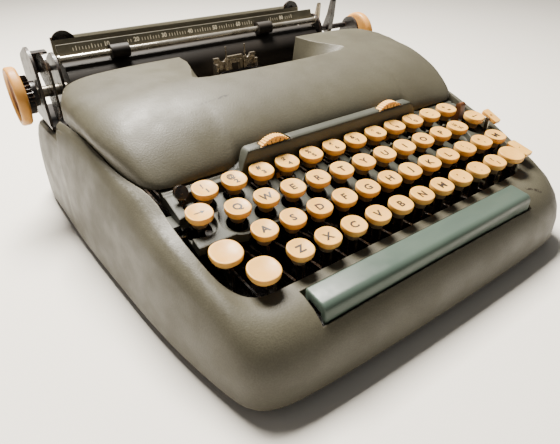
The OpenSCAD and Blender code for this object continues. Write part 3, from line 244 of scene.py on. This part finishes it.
def chrome(name, face, shade, roughness=0.16, metallic=0.85):
    """Plated metal, bright and nearly clean, dulled in soft patches by handling."""
    finish = Finish(name, roughness, metallic=metallic, edge=0.2 * mm)
    dull = finish.between(finish.noise(14 * mm, 2.0), 0.4, 0.7)
    finish.color(finish.mix(dull, face, shade))
    finish.gloss(finish.between(dull, 0.0, 1.0, roughness, roughness + 0.12))
    finish.relief((finish.noise(6.0 * mm, 1.0), 0.002 * mm))
    return finish.material


def enamelled_steel(name, face, worn, roughness):
    """Black enamel over pressed steel, rubbed to brown and bare metal along its edges."""
    finish = Finish(name, roughness, specular=0.55, coat=0.25, edge=0.35 * mm)
    dust = finish.between(finish.noise(6 * mm, 5.0), 0.45, 0.75)
    tone = finish.mix(finish.calc("MULTIPLY", dust, 0.3), face, rgb(*brown_dust))
    patchy = finish.between(finish.noise(3 * mm), 0.36, 0.60)
    tone = finish.mix(finish.calc("MULTIPLY", finish.edges(0.9 * mm), patchy), tone, worn)
    finish.color(tone)
    finish.gloss(finish.between(dust, 0.0, 1.0, roughness, roughness + 0.25))
    finish.relief((finish.noise(1.1 * mm, 3.0), 0.02 * mm))
    return finish.material


def rubber(name, face, dusty, roughness=0.62):
    """Ground black rubber, greyed by dust and handling."""
    finish = Finish(name, roughness, specular=0.35, edge=0.4 * mm)
    smeared = finish.stretched(0.3, 1.0, 1.0)
    dust = finish.between(finish.noise(30 * mm, 4.0, smeared), 0.35, 0.75)
    ground = finish.noise(0.6 * mm, 2.0, finish.stretched(5.0, 1.0, 1.0))
    finish.color(finish.mix(finish.calc("MULTIPLY", dust, 0.6), face, dusty))
    finish.gloss(finish.between(ground, 0.3, 0.7, roughness - 0.1, roughness + 0.1))
    finish.relief((ground, 0.03 * mm))
    return finish.material


def moulded(name, face, shade, roughness=0.4):
    """Hard moulded plastic with a faint flow pattern."""
    finish = Finish(name, roughness, specular=0.5, edge=0.35 * mm)
    flow = finish.noise(8 * mm, 4.0, distortion=1.5)
    finish.color(finish.mix(finish.between(flow, 0.3, 0.7), face, shade))
    finish.gloss(finish.between(finish.noise(4 * mm), 0.3, 0.7, roughness - 0.06, roughness + 0.1))
    finish.relief((finish.noise(0.5 * mm), 0.012 * mm))
    return finish.material


def ribbon_cloth(name):
    """Inked woven ribbon."""
    finish = Finish(name, 0.7, specular=0.25, edge=0.05 * mm)
    warp = finish.noise(0.35 * mm, 0.0, finish.stretched(1.0, 1.0, 8.0))
    weft = finish.noise(0.35 * mm, 0.0, finish.stretched(8.0, 8.0, 1.0))
    weave = finish.calc("MAXIMUM", warp, weft)
    finish.color(finish.mix(weave, rgb(18, 17, 20), rgb(44, 42, 48)))
    finish.relief((weave, 0.05 * mm))
    return finish.material


def printed(name, face, roughness=0.5):
    """Ink or enamel filling of letters and marks, worn thin in places."""
    finish = Finish(name, roughness, specular=0.4, edge=0.02 * mm)
    thin = finish.between(finish.noise(1.3 * mm, 3.0), 0.55, 0.75)
    worn = tuple(min(1.0, c * 1.25 + 0.015) for c in face[:3]) + (1.0,)
    finish.color(finish.mix(thin, face, worn))
    finish.relief((finish.noise(0.3 * mm), 0.006 * mm))
    return finish.material


def floor_finish(name):
    """Pale matt floor with hardly any figure."""
    finish = Finish(name, 0.85, specular=0.2, edge=0.1 * mm)
    finish.color(finish.mix(finish.noise(180 * mm, 3.0), rgb(226, 222, 214), rgb(221, 217, 209)))
    return finish.material


# Dark strokes on the paint: painted shadow on the cover's front slope below its crest, and paint
# chips beside the space bar:
# the ends of each stroke, how far it reaches to each side, and how dark it is from 0 to 1
crest_shadow_strokes = [
    (Vector((-82, -9.8, 109.3)) * mm, Vector((-59, -8.2, 110.4)) * mm, 1.1 * mm, 0.45),
    (Vector((-67, -8.9, 110.0)) * mm, Vector((-61, -8.3, 110.3)) * mm, 1.5 * mm, 0.8),
]
# Paint chips beside the space bar
dark_marks = [
    (Vector((100, -137.6, 48.0)) * mm, Vector((104, -139.6, 47.0)) * mm, 1.4 * mm, 0.9),
    (Vector((106, -140.8, 46.4)) * mm, Vector((110, -143.0, 44.6)) * mm, 1.6 * mm, 0.9),
]
# The housing paint darkens along these strokes: painted shadow on the cover, and real chips beside
# the space bar.
casing_paint = wrinkle_paint(
    "casing_paint", rgb(80, 77, 65), rgb(75, 72, 61), rgb(122, 113, 94), dark_marks=crest_shadow_strokes + dark_marks
)
panel_paint = wrinkle_paint(
    "panel_paint", rgb(68, 69, 62), rgb(63, 64, 57), rgb(104, 98, 84), 0.7 * mm, edge=1.8 * mm
)
slots = {
    "casing_paint": casing_paint,
    "panel_paint": panel_paint,
    "key_plastic": key_plastic("key_plastic", rgb(224, 170, 86), rgb(214, 158, 76)),
    "knob_plastic": key_plastic("knob_plastic", rgb(206, 150, 80), rgb(190, 132, 64), 0.38),
    "bar_plastic": bar_plastic("bar_plastic"),
    "black_steel": enamelled_steel("black_steel", rgb(22, 17, 14), rgb(104, 80, 58), 0.26),
    "bright_steel": steel("bright_steel", rgb(206, 198, 182), rgb(164, 154, 138), 0.26, rust=0.12),
    "nickel": chrome("nickel", rgb(196, 184, 166), rgb(150, 138, 118), 0.24, 0.9),
    "black_rubber": rubber("black_rubber", rgb(30, 25, 21), rgb(47, 41, 34)),
    "brown_plastic": moulded("brown_plastic", rgb(92, 58, 34), rgb(70, 42, 25)),
    "motor_paint": enamelled_steel("motor_paint", rgb(70, 72, 70), rgb(140, 132, 118), 0.45),
    "ribbon_cloth": ribbon_cloth("ribbon_cloth"),
    "scale_enamel": moulded("scale_enamel", rgb(84, 80, 67), rgb(74, 70, 58), 0.42),
    "socket_plastic": moulded("socket_plastic", rgb(34, 30, 28), rgb(48, 42, 38), 0.45),
}
ink = printed("black_ink", rgb(38, 26, 20))
white_ink = printed("white_ink", rgb(232, 222, 196))
lever_steel = steel("lever_steel", rgb(150, 142, 126), rgb(104, 96, 82), 0.36, rust=0.3)
# Darker brown for the knob's cone: painted shade in its recess.
knob_recess_shade = key_plastic("knob_recess_shade", rgb(122, 74, 34), rgb(96, 58, 28), 0.42)
# The necks' grey-brown is their own colour, darkened as painted shade under the caps.
neck_shaded_grey = moulded("neck_shaded_grey", rgb(120, 100, 74), rgb(98, 82, 60), 0.45)
plate_enamel = enamelled_steel("plate_enamel", rgb(24, 16, 11), rgb(96, 66, 42), 0.5)
# The paper table's paint is a lighter copy of the housing paint: painted light and reflection on
# its face.
lit_table_paint = wrinkle_paint(
    "lit_table_paint", rgb(152, 146, 126), rgb(142, 136, 116), rgb(166, 158, 138), 0.5 * mm
)

# Nodes that look unlike the rest of their slot
own_finish = {
    "end_plate_left": plate_enamel,
    "end_plate_right": plate_enamel,
    "carriage_frame": plate_enamel,
    "paper_bail": chrome("bail_chrome", rgb(222, 214, 200), rgb(176, 166, 148)),
    "paper_table": lit_table_paint,
}
ear_width = 20 * mm
ear_height = 9 * mm


def dress():
    """Gives each CAD node the finish of its slot, or its own where it has one."""
    for part in frame["record"]["subparts"]:
        name, slot = part["node"], part["material_slot"]
        piece = nodes[name]
        piece.data.materials.clear()
        piece.data.materials.append(own_finish.get(name, slots[slot]))
    darken_ears()


def darken_ears():
    """The paper table's two ears are enamelled black, unlike the sheet between them."""
    table = nodes["paper_table"].data
    table.materials.append(slots["black_steel"])
    low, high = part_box("paper_table")
    for face in table.polygons:
        from_end = min(face.center.x - low.x, high.x - face.center.x)
        if from_end < ear_width and face.center.z > high.z - ear_height:
            face.material_index = 1


# Pieces made from the CAD surfaces

weld = 0.002 * mm

# How far the photograph's cover edge lies from the CAD's, in millimetres: down and forward beyond
# the keyboard's ridge, out at the cover's front corners and shoulders, and out at the panel's ends.
# casing_forward is a share of the casing's own drop
ridge_end = (72, 79)
edge_down = 5.0
edge_forward = 3.0
corner_out = 8.0
shoulder_out = 6.0
panel_out = 3.0
panel_end = (121.2, 123.2)
casing_forward = 0.4


def joined(node):
    """The node's surface with its doubled corners merged."""
    mesh = bmesh.new()
    mesh.from_mesh(nodes[node].data)
    bmesh.ops.remove_doubles(mesh, verts=mesh.verts, dist=weld)
    return mesh


def show(name, mesh, body, finishes, crease=35.0):
    """Turns a mesh being built into a piece that rides on a body, shaded smooth up to a crease."""
    limit = math.radians(crease)
    for face in mesh.faces:
        face.smooth = True
    for edge in mesh.edges:
        edge.smooth = len(edge.link_faces) == 2 and edge.calc_face_angle(0.0) < limit
    data = bpy.data.meshes.new(name)
    mesh.to_mesh(data)
    mesh.free()
    piece = bpy.data.objects.new(name, data)
    bpy.context.scene.collection.objects.link(piece)
    for finish in finishes:
        data.materials.append(slots[finish] if isinstance(finish, str) else finish)
    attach(piece, body)
    return piece


def rise(value, low, high):
    """0 below low, 1 above high, and a smooth step between."""
    t = min(1.0, max(0.0, (value - low) / (high - low)))
    return t * t * (3 - 2 * t)


def cover_shift(point):
    """From the CAD's cover to the photographed one, in metres: a lower edge, fuller shoulders."""
    x, y, z = point / mm
    wide = abs(x)
    seam = (1 - rise(z, 90, 113)) * (1 - rise(y, -25, 45))
    drop = rise(wide, *ridge_end) * seam
    belt = rise(z, 90, 102) * (1 - rise(z, 110, 117))
    shoulder = rise(wide, 96, 125) * belt * (1 - rise(y, 5, 50))
    out = corner_out * rise(wide, 100, 124) * seam + shoulder_out * shoulder
    return Vector((math.copysign(out, x), -edge_forward * drop, -edge_down * drop)) * mm


def casing_shift(point):
    """The casing's shoulders under that cover edge, moved with it, in metres."""
    x, y, z = point / mm
    wide = abs(x)
    across = rise(wide, 108, 124) * (1 - rise(wide, 130, 161))
    inner = across * rise(z, 38, 60) * (1 - rise(y, -20, 50))
    out = shoulder_out * inner * rise(y, -128, -70)
    drop = edge_down * inner * rise(y, -105, -40) * rise(z, 58, 78)
    return Vector((math.copysign(out, x), -casing_forward * drop, -drop)) * mm


def panel_shift(point):
    """The keyboard panel's rear edge and ends, moved under the same cover edge, in metres."""
    x, y, z = point / mm
    wide = abs(x)
    drop = rise(wide, *ridge_end) * rise(y, -50, -43)
    out = math.copysign(panel_out * rise(wide, *panel_end), x)
    return Vector((out, -edge_forward * drop, -edge_down * drop)) * mm


def smoothed(node, body, slot, shift):
    """The node's surface shaded smooth, its seam brought to the photograph, shown in its place."""
    longest = 5.0 * mm
    least = 0.05 * mm
    rounds = 4
    mesh = joined(node)
    for _ in range(rounds):
        moved = {v for v in mesh.verts if shift(v.co).length > least}
        long = [e for e in mesh.edges if e.calc_length() > longest and moved.intersection(e.verts)]
        bmesh.ops.subdivide_edges(mesh, edges=long, cuts=1, use_grid_fill=False)
        bmesh.ops.triangulate(mesh, faces=[f for f in mesh.faces if len(f.verts) > 4])
    for vertex in mesh.verts:
        vertex.co += shift(vertex.co)
    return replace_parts(show(node + "_smooth", mesh, body, [slot]), node)


def islands(mesh):
    """The separate closed parts of a mesh, each a list of its vertices."""
    left = set(mesh.verts)
    found = []
    while left:
        start = left.pop()
        part, edge = [start], [start]
        while edge:
            vert = edge.pop()
            for link in vert.link_edges:
                other = link.other_vert(vert)
                if other in left:
                    left.remove(other)
                    part.append(other)
                    edge.append(other)
        found.append(part)
    return found


def highest(mesh):
    """The part of the mesh that reaches the highest, as a list of its vertices."""
    return max(islands(mesh), key=lambda part: max(v.co.z for v in part))


# Keys

pitch = 19.05
cap_radius = 7.4
shift_radius = 8.8
cap_tilt = math.radians(8.0)
home_key = Vector((-1.3, -97.0, 70.0))
row_rise = 5.8
home_row = 2
middle_column = 5.5
# Each row's shift to the right in key pitches, and its legends with the shifted sign second
row_layout = [
    (0.0, ["1!", "2@", "3#", "4$", "5%", "6\u00a2", "7&", "8*", "9(", "0)", "-_", "=+"]),
    (0.5, ["Q", "W", "E", "R", "T", "Y", "U", "I", "O", "P", "\u00bd\u00bc"]),
    (0.75, ["A", "S", "D", "F", "G", "H", "J", "K", "L", ";:", "'\""]),
    (1.25, ["Z", "X", "C", "V", "B", "N", "M", ",,", "..", "/?"]),
]
# Each side key's centre, radius and legend
side_keys = {
    "tab_key": ((-117.8, -73.9, 78.0), cap_radius, "\u2192"),
    "backspace_key": ((117.0, -75.5, 77.8), cap_radius, "\u2190"),
    "margin_release_key": ((115.6, -97.0, 70.0), cap_radius, "M"),
    "shift_lock_key": ((-117.0, -99.0, 67.0), shift_radius, ""),
    "left_shift_key": ((-106.0, -117.0, 62.5), shift_radius, ""),
    "right_shift_key": ((109.0, -116.0, 64.2), shift_radius, ""),
}
# From the middle of the dish over the rim and down the side: share of the radius, and height
cap_profile = [
    (0.14, -0.74), (0.34, -0.66), (0.55, -0.48), (0.74, -0.24), (0.88, -0.06), (0.945, 0.0),
    (0.975, -0.07), (0.994, -0.24), (1.0, -0.55), (0.996, -2.4), (0.975, -3.3), (0.95, -3.75),
    (0.91, -4.0), (0.84, -4.1),
]
dish_depth = 0.77
# Radius and height down the neck
neck_profile = [(5.3, -4.12), (5.1, -4.5), (4.7, -6.4), (4.4, -8.6), (4.2, -9.1), (3.6, -9.3)]
cap_square = 2.25


def cap_frame(centre):
    """Places a cap drawn at the origin, facing up, at its centre with the keyboard's tilt."""
    return Matrix.Translation(Vector(centre) * mm) @ Matrix.Rotation(cap_tilt, 4, "X")


def ring(mesh, radius, height, power, place, count=40):
    """A closed line of vertices, round for power 2 and squarer above it."""
    verts = []
    for step in range(count):
        a = 2 * math.pi * step / count
        c, s = math.cos(a), math.sin(a)
        x = math.copysign(abs(c) ** (2 / power), c) * radius
        y = math.copysign(abs(s) ** (2 / power), s) * radius
        verts.append(mesh.verts.new(place @ (Vector((x, y, height)) * mm)))
    return verts


def bridge(mesh, first, second):
    """The faces made between two rings of the same count."""
    made = []
    for step in range(len(first)):
        after = (step + 1) % len(first)
        made.append(mesh.faces.new((first[step], second[step], second[after], first[after])))
    return made


def add_cap(mesh, centre, radius):
    """A squared round cap with a dished top and a straight side, over a neck whose grey-brown is
    darkened as painted shade under the cap.
    """
    place = cap_frame(centre)
    rings = [ring(mesh, radius * share, height, cap_square, place) for share, height in cap_profile]
    rings += [ring(mesh, wide, height, 2.0, place) for wide, height in neck_profile]
    hub = mesh.verts.new(place @ Vector((0, 0, -dish_depth * mm)))
    inner = rings[0]
    for step in range(len(inner)):
        mesh.faces.new((inner[step], inner[(step + 1) % len(inner)], hub))
    for above, below in zip(rings, rings[1:]):
        colour = 0 if above in rings[:len(cap_profile) - 1] else 1
        for face in bridge(mesh, above, below):
            face.material_index = colour
    mesh.faces.new(rings[-1]).material_index = 1


def key_places(row):
    """The cap centres of a row in millimetres, each with its legend."""
    shift, legends = row_layout[row]
    up = home_row - row
    for column, text in enumerate(legends):
        across = (shift + column - middle_column) * pitch
        yield home_key + Vector((across, up * pitch, up * row_rise)), text


# Lettering and marks

half_thick = 0.03 * mm
proud = 0.045 * mm
cast_from = 3 * mm
single_letter = (7.0 * mm, 0.24 * mm)
upper_letter = (5.0 * mm, 0.18 * mm)
lower_letter = (5.2 * mm, 0.20 * mm)
flag_letter = (5.2 * mm, 0.05 * mm)
scale_number = (4.4 * mm, 0.14 * mm)


def flat_letters(text, height, weight):
    """A thin closed mesh of the text, centred on the origin, in XY with its top towards +Y."""
    curve = bpy.data.curves.new("letters", "FONT")
    curve.body = text
    curve.size = height
    curve.extrude = half_thick
    curve.offset = weight
    curve.align_x = "CENTER"
    curve.align_y = "CENTER"
    curve.resolution_u = 3
    source = bpy.data.objects.new("letters", curve)
    bpy.context.scene.collection.objects.link(source)
    seen = source.evaluated_get(bpy.context.evaluated_depsgraph_get())
    mesh = bpy.data.meshes.new_from_object(seen)
    bpy.data.objects.remove(source)
    return centred(mesh)


def centred(mesh):
    """The mesh with the middle of its outline at the origin."""
    xs = [v.co.x for v in mesh.vertices]
    ys = [v.co.y for v in mesh.vertices]
    middle = Vector(((min(xs) + max(xs)) / 2, (min(ys) + max(ys)) / 2, 0))
    for vertex in mesh.vertices:
        vertex.co -= middle
    return mesh


def flat_shape(points):
    """A thin closed plate with this outline in millimetres, for arrows and ticks."""
    shape = bmesh.new()
    low = [shape.verts.new(Vector((x * mm, y * mm, -half_thick))) for x, y in points]
    high = [shape.verts.new(Vector((x * mm, y * mm, half_thick))) for x, y in points]
    shape.faces.new(list(reversed(low)))
    shape.faces.new(high)
    for step in range(len(points)):
        after = (step + 1) % len(points)
        shape.faces.new((low[step], low[after], high[after], high[step]))
    mesh = bpy.data.meshes.new("shape")
    shape.to_mesh(mesh)
    shape.free()
    return mesh


def surface_of(mesh):
    """A tree that finds where a ray meets the mesh."""
    points = [v.co.copy() for v in mesh.vertices]
    faces = [list(p.vertices) for p in mesh.polygons]
    return BVHTree.FromPolygons(points, faces)


def marks(name, body, material, tree, down, parts):
    """One piece of many thin marks, each a mesh and its place, pressed onto a surface."""
    whole = bmesh.new()
    axis = down.normalized()
    for mesh, place in parts:
        part = bmesh.new()
        part.from_mesh(mesh)
        base = place.to_translation()
        for vertex in part.verts:
            moved = place @ vertex.co
            height = (moved - base).dot(-axis)
            level = moved + axis * height
            hit = tree.ray_cast(level - axis * cast_from, axis)[0]
            vertex.co = (hit if hit is not None else level) - axis * (proud + height)
        pressed = bpy.data.meshes.new("part")
        part.to_mesh(pressed)
        part.free()
        whole.from_mesh(pressed)
        bpy.data.meshes.remove(pressed)
    return show(name, whole, body, [material], 20.0)


arrow_right = [
    (-3.2, -0.3), (0.9, -0.3), (0.9, -1.3), (3.2, 0.0), (0.9, 1.3), (0.9, 0.3), (-3.2, 0.3)
]
arrow_left = [(-x, -y) for x, y in arrow_right]


def legend(text, centre):
    """The meshes and places of one key's characters."""
    place = cap_frame(centre)
    if text == "\u2192":
        return [(flat_shape(arrow_right), place)]
    if text == "\u2190":
        return [(flat_shape(arrow_left), place)]
    if len(text) == 1:
        return [(flat_letters(text, *single_letter), place)]
    upper = place @ Matrix.Translation(Vector((-0.7, 2.5, 0)) * mm)
    lower = place @ Matrix.Translation(Vector((0.5, -2.3, 0)) * mm)
    return [
        (flat_letters(text[1], *upper_letter), upper),
        (flat_letters(text[0], *lower_letter), lower),
    ]


def add_keys():
    """Caps with legends for the four rows and the six round side keys."""
    down = cap_frame((0, 0, 0)).to_3x3() @ Vector((0, 0, -1))
    for row in range(4):
        body = f"key_row_{row + 1}"
        mesh = bmesh.new()
        for centre, text in key_places(row):
            add_cap(mesh, centre, cap_radius)
        caps = show(f"caps_row_{row + 1}", mesh, body, ["key_plastic", neck_shaded_grey], 40.0)
        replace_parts(caps, f"keycaps_row_{row + 1}")
        signs = [part for centre, text in key_places(row) for part in legend(text, centre)]
        marks(f"legends_row_{row + 1}", body, ink, surface_of(caps.data), down, signs)
    for node, (centre, radius, text) in side_keys.items():
        mesh = bmesh.new()
        add_cap(mesh, centre, radius)
        cap = show(node + "_cap", mesh, node, ["key_plastic", neck_shaded_grey], 40.0)
        lever = joined(node)
        bmesh.ops.delete(lever, geom=highest(lever), context="VERTS")
        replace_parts(cap, node)
        show(node + "_lever", lever, node, ["black_steel"])
        if text:
            marks(node + "_legend", node, ink, surface_of(cap.data), down, legend(text, centre))


def add_flags():
    """The two flat tabulator keys: cream blades on steel levers, with plain signs."""
    for node, text, tilt in (("tab_set_key", "+", 22.0), ("tab_clear_key", "-", 12.0)):
        lever = joined(node)
        top = highest(lever)
        middle = sum((v.co for v in top), Vector()) / len(top)
        bmesh.ops.delete(lever, geom=top, context="VERTS")
        blade = joined(node)
        kept = set(highest(blade))
        bmesh.ops.delete(blade, geom=[v for v in blade.verts if v not in kept], context="VERTS")
        piece = show(node + "_blade", blade, node, ["key_plastic"], 30.0)
        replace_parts(piece, node)
        show(node + "_lever", lever, node, [lever_steel])
        above = Matrix.Translation(middle + Vector((0, 0, 1.2 * mm)))
        place = above @ Matrix.Rotation(math.radians(tilt), 4, "X")
        down = place.to_3x3() @ Vector((0, 0, -1))
        sign = (flat_letters(text, *flag_letter), place)
        marks(node + "_legend", node, ink, surface_of(piece.data), down, [sign])


def arc(y, z, radius, start, end, steps=6):
    """Points of an arc about y, z in a section across X, angles in degrees from +Y towards +Z."""
    turns = [math.radians(start + (end - start) * i / steps) for i in range(steps + 1)]
    return [(y + radius * math.cos(a), z + radius * math.sin(a)) for a in turns]


def add_space_bar():
    """The bar: a crowned top that rolls over into a deep front skirt, with softened ends."""
    low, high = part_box("space_bar")
    forward, skirt, wall, rear_round, front_round = 1.1, 3.5, 2.6, 1.4, 4.6
    rear, front = high.y / mm, low.y / mm - forward
    top, foot = high.z / mm, low.z / mm - skirt
    rear_foot = foot + 4
    crown = top - 1
    section = [(rear, rear_foot), (rear, top - rear_round)]
    section += arc(rear - rear_round, top - rear_round, rear_round, 0, 90, 4)
    section += arc(front + front_round, crown - front_round, front_round, 82, 176)
    section += [(front, foot + 1), (front + 0.6, foot), (front + wall, foot)]
    section += [(front + wall, top - 7), (rear - wall, top - 5), (rear - wall, rear_foot)]
    middle = Vector((0, sum(y for y, z in section) / len(section), top - 7))
    softened = [(0.0, 1.1), (0.35, 0.42), (1.1, 0.0)]
    steps = [(low.x / mm + inset, shrink) for inset, shrink in softened]
    steps += [(high.x / mm - inset, shrink) for inset, shrink in reversed(softened)]
    mesh = bmesh.new()
    rings = []
    for x, shrink in steps:
        points = [Vector((x, y, z)) for y, z in section]
        inward = [Vector((0, middle.y - p.y, middle.z - p.z)).normalized() * shrink for p in points]
        rings.append([mesh.verts.new((p + d) * mm) for p, d in zip(points, inward)])
    for first, second in zip(rings, rings[1:]):
        bridge(mesh, first, second)
    bmesh.ops.triangulate(mesh, faces=[mesh.faces.new(rings[0]), mesh.faces.new(rings[-1])])
    bmesh.ops.recalc_face_normals(mesh, faces=mesh.faces)
    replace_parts(show("bar", mesh, "space_bar", ["bar_plastic"], 40.0), "space_bar")


def lathed(mesh, centre, axis, profile, colours, count=96):
    """A turned piece about an axis through centre. The profile is its radius and place along it."""
    side = axis.orthogonal().normalized()
    other = axis.cross(side)
    rings = []
    for radius, along in profile:
        ring_verts = []
        for step in range(count):
            a = 2 * math.pi * step / count
            spoke = side * math.cos(a) + other * math.sin(a)
            ring_verts.append(mesh.verts.new((centre + axis * along + spoke * radius) * mm))
        rings.append(ring_verts)
    for index, (first, second) in enumerate(zip(rings, rings[1:])):
        for face in bridge(mesh, first, second):
            face.material_index = colours[index]
    mesh.faces.new(rings[0])
    mesh.faces.new(rings[-1])


def knob_profile(r, thick):
    """Radius and place along the axis, from the back over the rim into the cone and to the hub."""
    back = [(3.6, -thick), (r - 3, -thick), (r - 1.2, 0.4 - thick), (r - 0.3, 1.4 - thick)]
    rim = [(r, 2.4 - thick), (r, -1.6), (r - 0.3, -0.7), (r - 1.1, -0.1), (r - 2.2, 0.0)]
    cone = [(r - 3.2, -0.5), (r - 4.2, -1.7), (r - 8.5, -3.9), (6.8, -4.6)]
    hub = [(6.2, -4.3), (5.2, -4.2), (3.6, -4.2)]
    return back + rim + cone + hub


def add_knobs():
    """The platen knobs: rounded rims about a deep cone, coloured darker as painted shade in the
    recess.
    """
    clean, recess_shaded = 0, 1
    # The cone's bands take the darker colour: painted shade.
    colours = [clean] * 10 + [recess_shaded] * 3 + [clean] * 2
    for node, way in (("knob_left", -1), ("knob_right", 1)):
        low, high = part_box(node)
        outer = low.x if way < 0 else high.x
        centre = Vector((outer, (low.y + high.y) / 2, (low.z + high.z) / 2)) / mm
        profile = knob_profile((high.y - low.y) / 2 / mm, (high.x - low.x) / mm)
        mesh = bmesh.new()
        lathed(mesh, centre, Vector((way, 0, 0)), profile, colours)
        bmesh.ops.recalc_face_normals(mesh, faces=mesh.faces)
        turned = show(node + "_turned", mesh, "platen", ["knob_plastic", knob_recess_shade], 40.0)
        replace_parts(turned, node)


def tick_shape(half, start, end):
    """A thin upright bar, half its width to each side, from start to end in millimetres."""
    return flat_shape([(-half, start), (half, start), (half, end), (-half, end)])


def add_wheel_marks():
    """Short dark strokes round the front face of each thumbwheel."""
    count = 24
    tall, short = tick_shape(0.35, 10.4, 13.4), tick_shape(0.3, 11.6, 13.4)
    for node in ("thumbwheel_left", "thumbwheel_right"):
        low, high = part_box(node)
        centre = Vector(((low.x + high.x) / 2, low.y - 1 * mm, (low.z + high.z) / 2))
        facing = Matrix.Translation(centre) @ Matrix.Rotation(math.radians(90), 4, "X")
        parts = []
        for step in range(count):
            turn = Matrix.Rotation(2 * math.pi * step / count, 4, "Z")
            parts.append((tall if step % 3 else short, facing @ turn))
        tree = surface_of(nodes[node].data)
        marks(node + "_marks", node, ink, tree, Vector((0, 1, 0)), parts)


def add_scale():
    """White ticks and plain numbers along the bail's scale, none of them under a bail roller."""
    low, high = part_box("bail_scale")
    leans_back = 2.35 * mm
    tilt = math.atan2(high.z - low.z, leans_back)
    base = Matrix.Translation((0, low.y + 0.9 * mm, low.z)) @ Matrix.Rotation(tilt, 4, "X")
    down = base.to_3x3() @ Vector((0, 0, -1))
    first, unit, last = -117.9, 2.29, 85
    rollers, roller_half = (-88.0, 43.0), 6.0
    number_height, tick_height = 5.4, 3.8
    tick, long_tick = tick_shape(0.2, 0, 2.2), tick_shape(0.24, 0, 3.1)
    parts = []
    for step in range(-1, last + 1):
        x = first + step * unit
        if any(abs(x - roller) < roller_half for roller in rollers):
            continue
        if step % 10 == 0 and step > 0:
            number = flat_letters(str(step), *scale_number)
            parts.append((number, base @ Matrix.Translation(Vector((x, number_height, 0)) * mm)))
        elif step % 10 not in (1, 9) or step < 2:
            shape = tick if step % 5 else long_tick
            parts.append((shape, base @ Matrix.Translation(Vector((x, tick_height, 0)) * mm)))
    tree = surface_of(nodes["bail_scale"].data)
    marks("scale_marks", "paper_bail", white_ink, tree, down, parts)


# Camera, light and floor


def add_camera():
    """The photograph's viewing place: above and left of the front, looking right and down."""
    data = bpy.data.cameras.new("camera")
    data.lens = 30.69
    data.sensor_width = 36.0
    data.shift_x = -0.0033
    data.shift_y = 0.0015
    data.clip_start = 0.01
    camera = bpy.data.objects.new("camera", data)
    camera.location = Vector((-206.7, -271.1, 214.8)) * mm
    forward = Vector((0.485, 0.670, -0.562))
    camera.rotation_mode = "QUATERNION"
    camera.rotation_quaternion = forward.to_track_quat("-Z", "Y")
    bpy.context.scene.collection.objects.link(camera)
    bpy.context.scene.camera = camera


def add_light(name, place, aim, size, power, tint):
    """A soft rectangular studio light, its size in metres and its power in watts."""
    data = bpy.data.lights.new(name, "AREA")
    data.shape = "RECTANGLE"
    data.size = size
    data.size_y = size * 0.8
    data.energy = power
    data.color = tint
    light = bpy.data.objects.new(name, data)
    light.location = place
    light.rotation_mode = "QUATERNION"
    light.rotation_quaternion = (Vector(aim) - Vector(place)).to_track_quat("-Z", "Y")
    bpy.context.scene.collection.objects.link(light)


def add_studio():
    """A pale floor, an even pale surround and three soft lights."""
    half = 6.0
    corners = [(-half, -half, 0), (half, -half, 0), (half, half, 0), (-half, half, 0)]
    mesh = bpy.data.meshes.new("floor")
    mesh.from_pydata(corners, [], [(0, 1, 2, 3)])
    mesh.materials.append(floor_finish("floor"))
    floor = bpy.data.objects.new("floor", mesh)
    bpy.context.scene.collection.objects.link(floor)
    world = bpy.data.worlds.new("studio")
    world.use_nodes = True
    surround = world.node_tree.nodes["Background"]
    surround.inputs["Color"].default_value = (1.0, 0.97, 0.92, 1.0)
    surround.inputs["Strength"].default_value = 0.16
    bpy.context.scene.world = world
    add_light("above", (-0.02, 0.42, 1.0), (-0.03, 0, 0.08), 0.45, 66.0, (1.0, 0.95, 0.86))
    add_light("left", (-1.0, 0.4, 0.7), (0, 0, 0.05), 0.6, 0.6, (1.0, 0.80, 0.68))
    add_light("right", (0.9, 0.5, 0.9), (0, 0, 0.05), 0.7, 1.0, (1.0, 0.96, 0.9))


dress()
smoothed("lower_casing", "chassis", "casing_paint", casing_shift)
smoothed("ribbon_cover", "ribbon_cover", "casing_paint", cover_shift)
smoothed("keyboard_panel", "chassis", "panel_paint", panel_shift)
add_keys()
add_flags()
add_space_bar()
add_wheel_marks()
add_scale()
add_knobs()
add_camera()
add_studio()
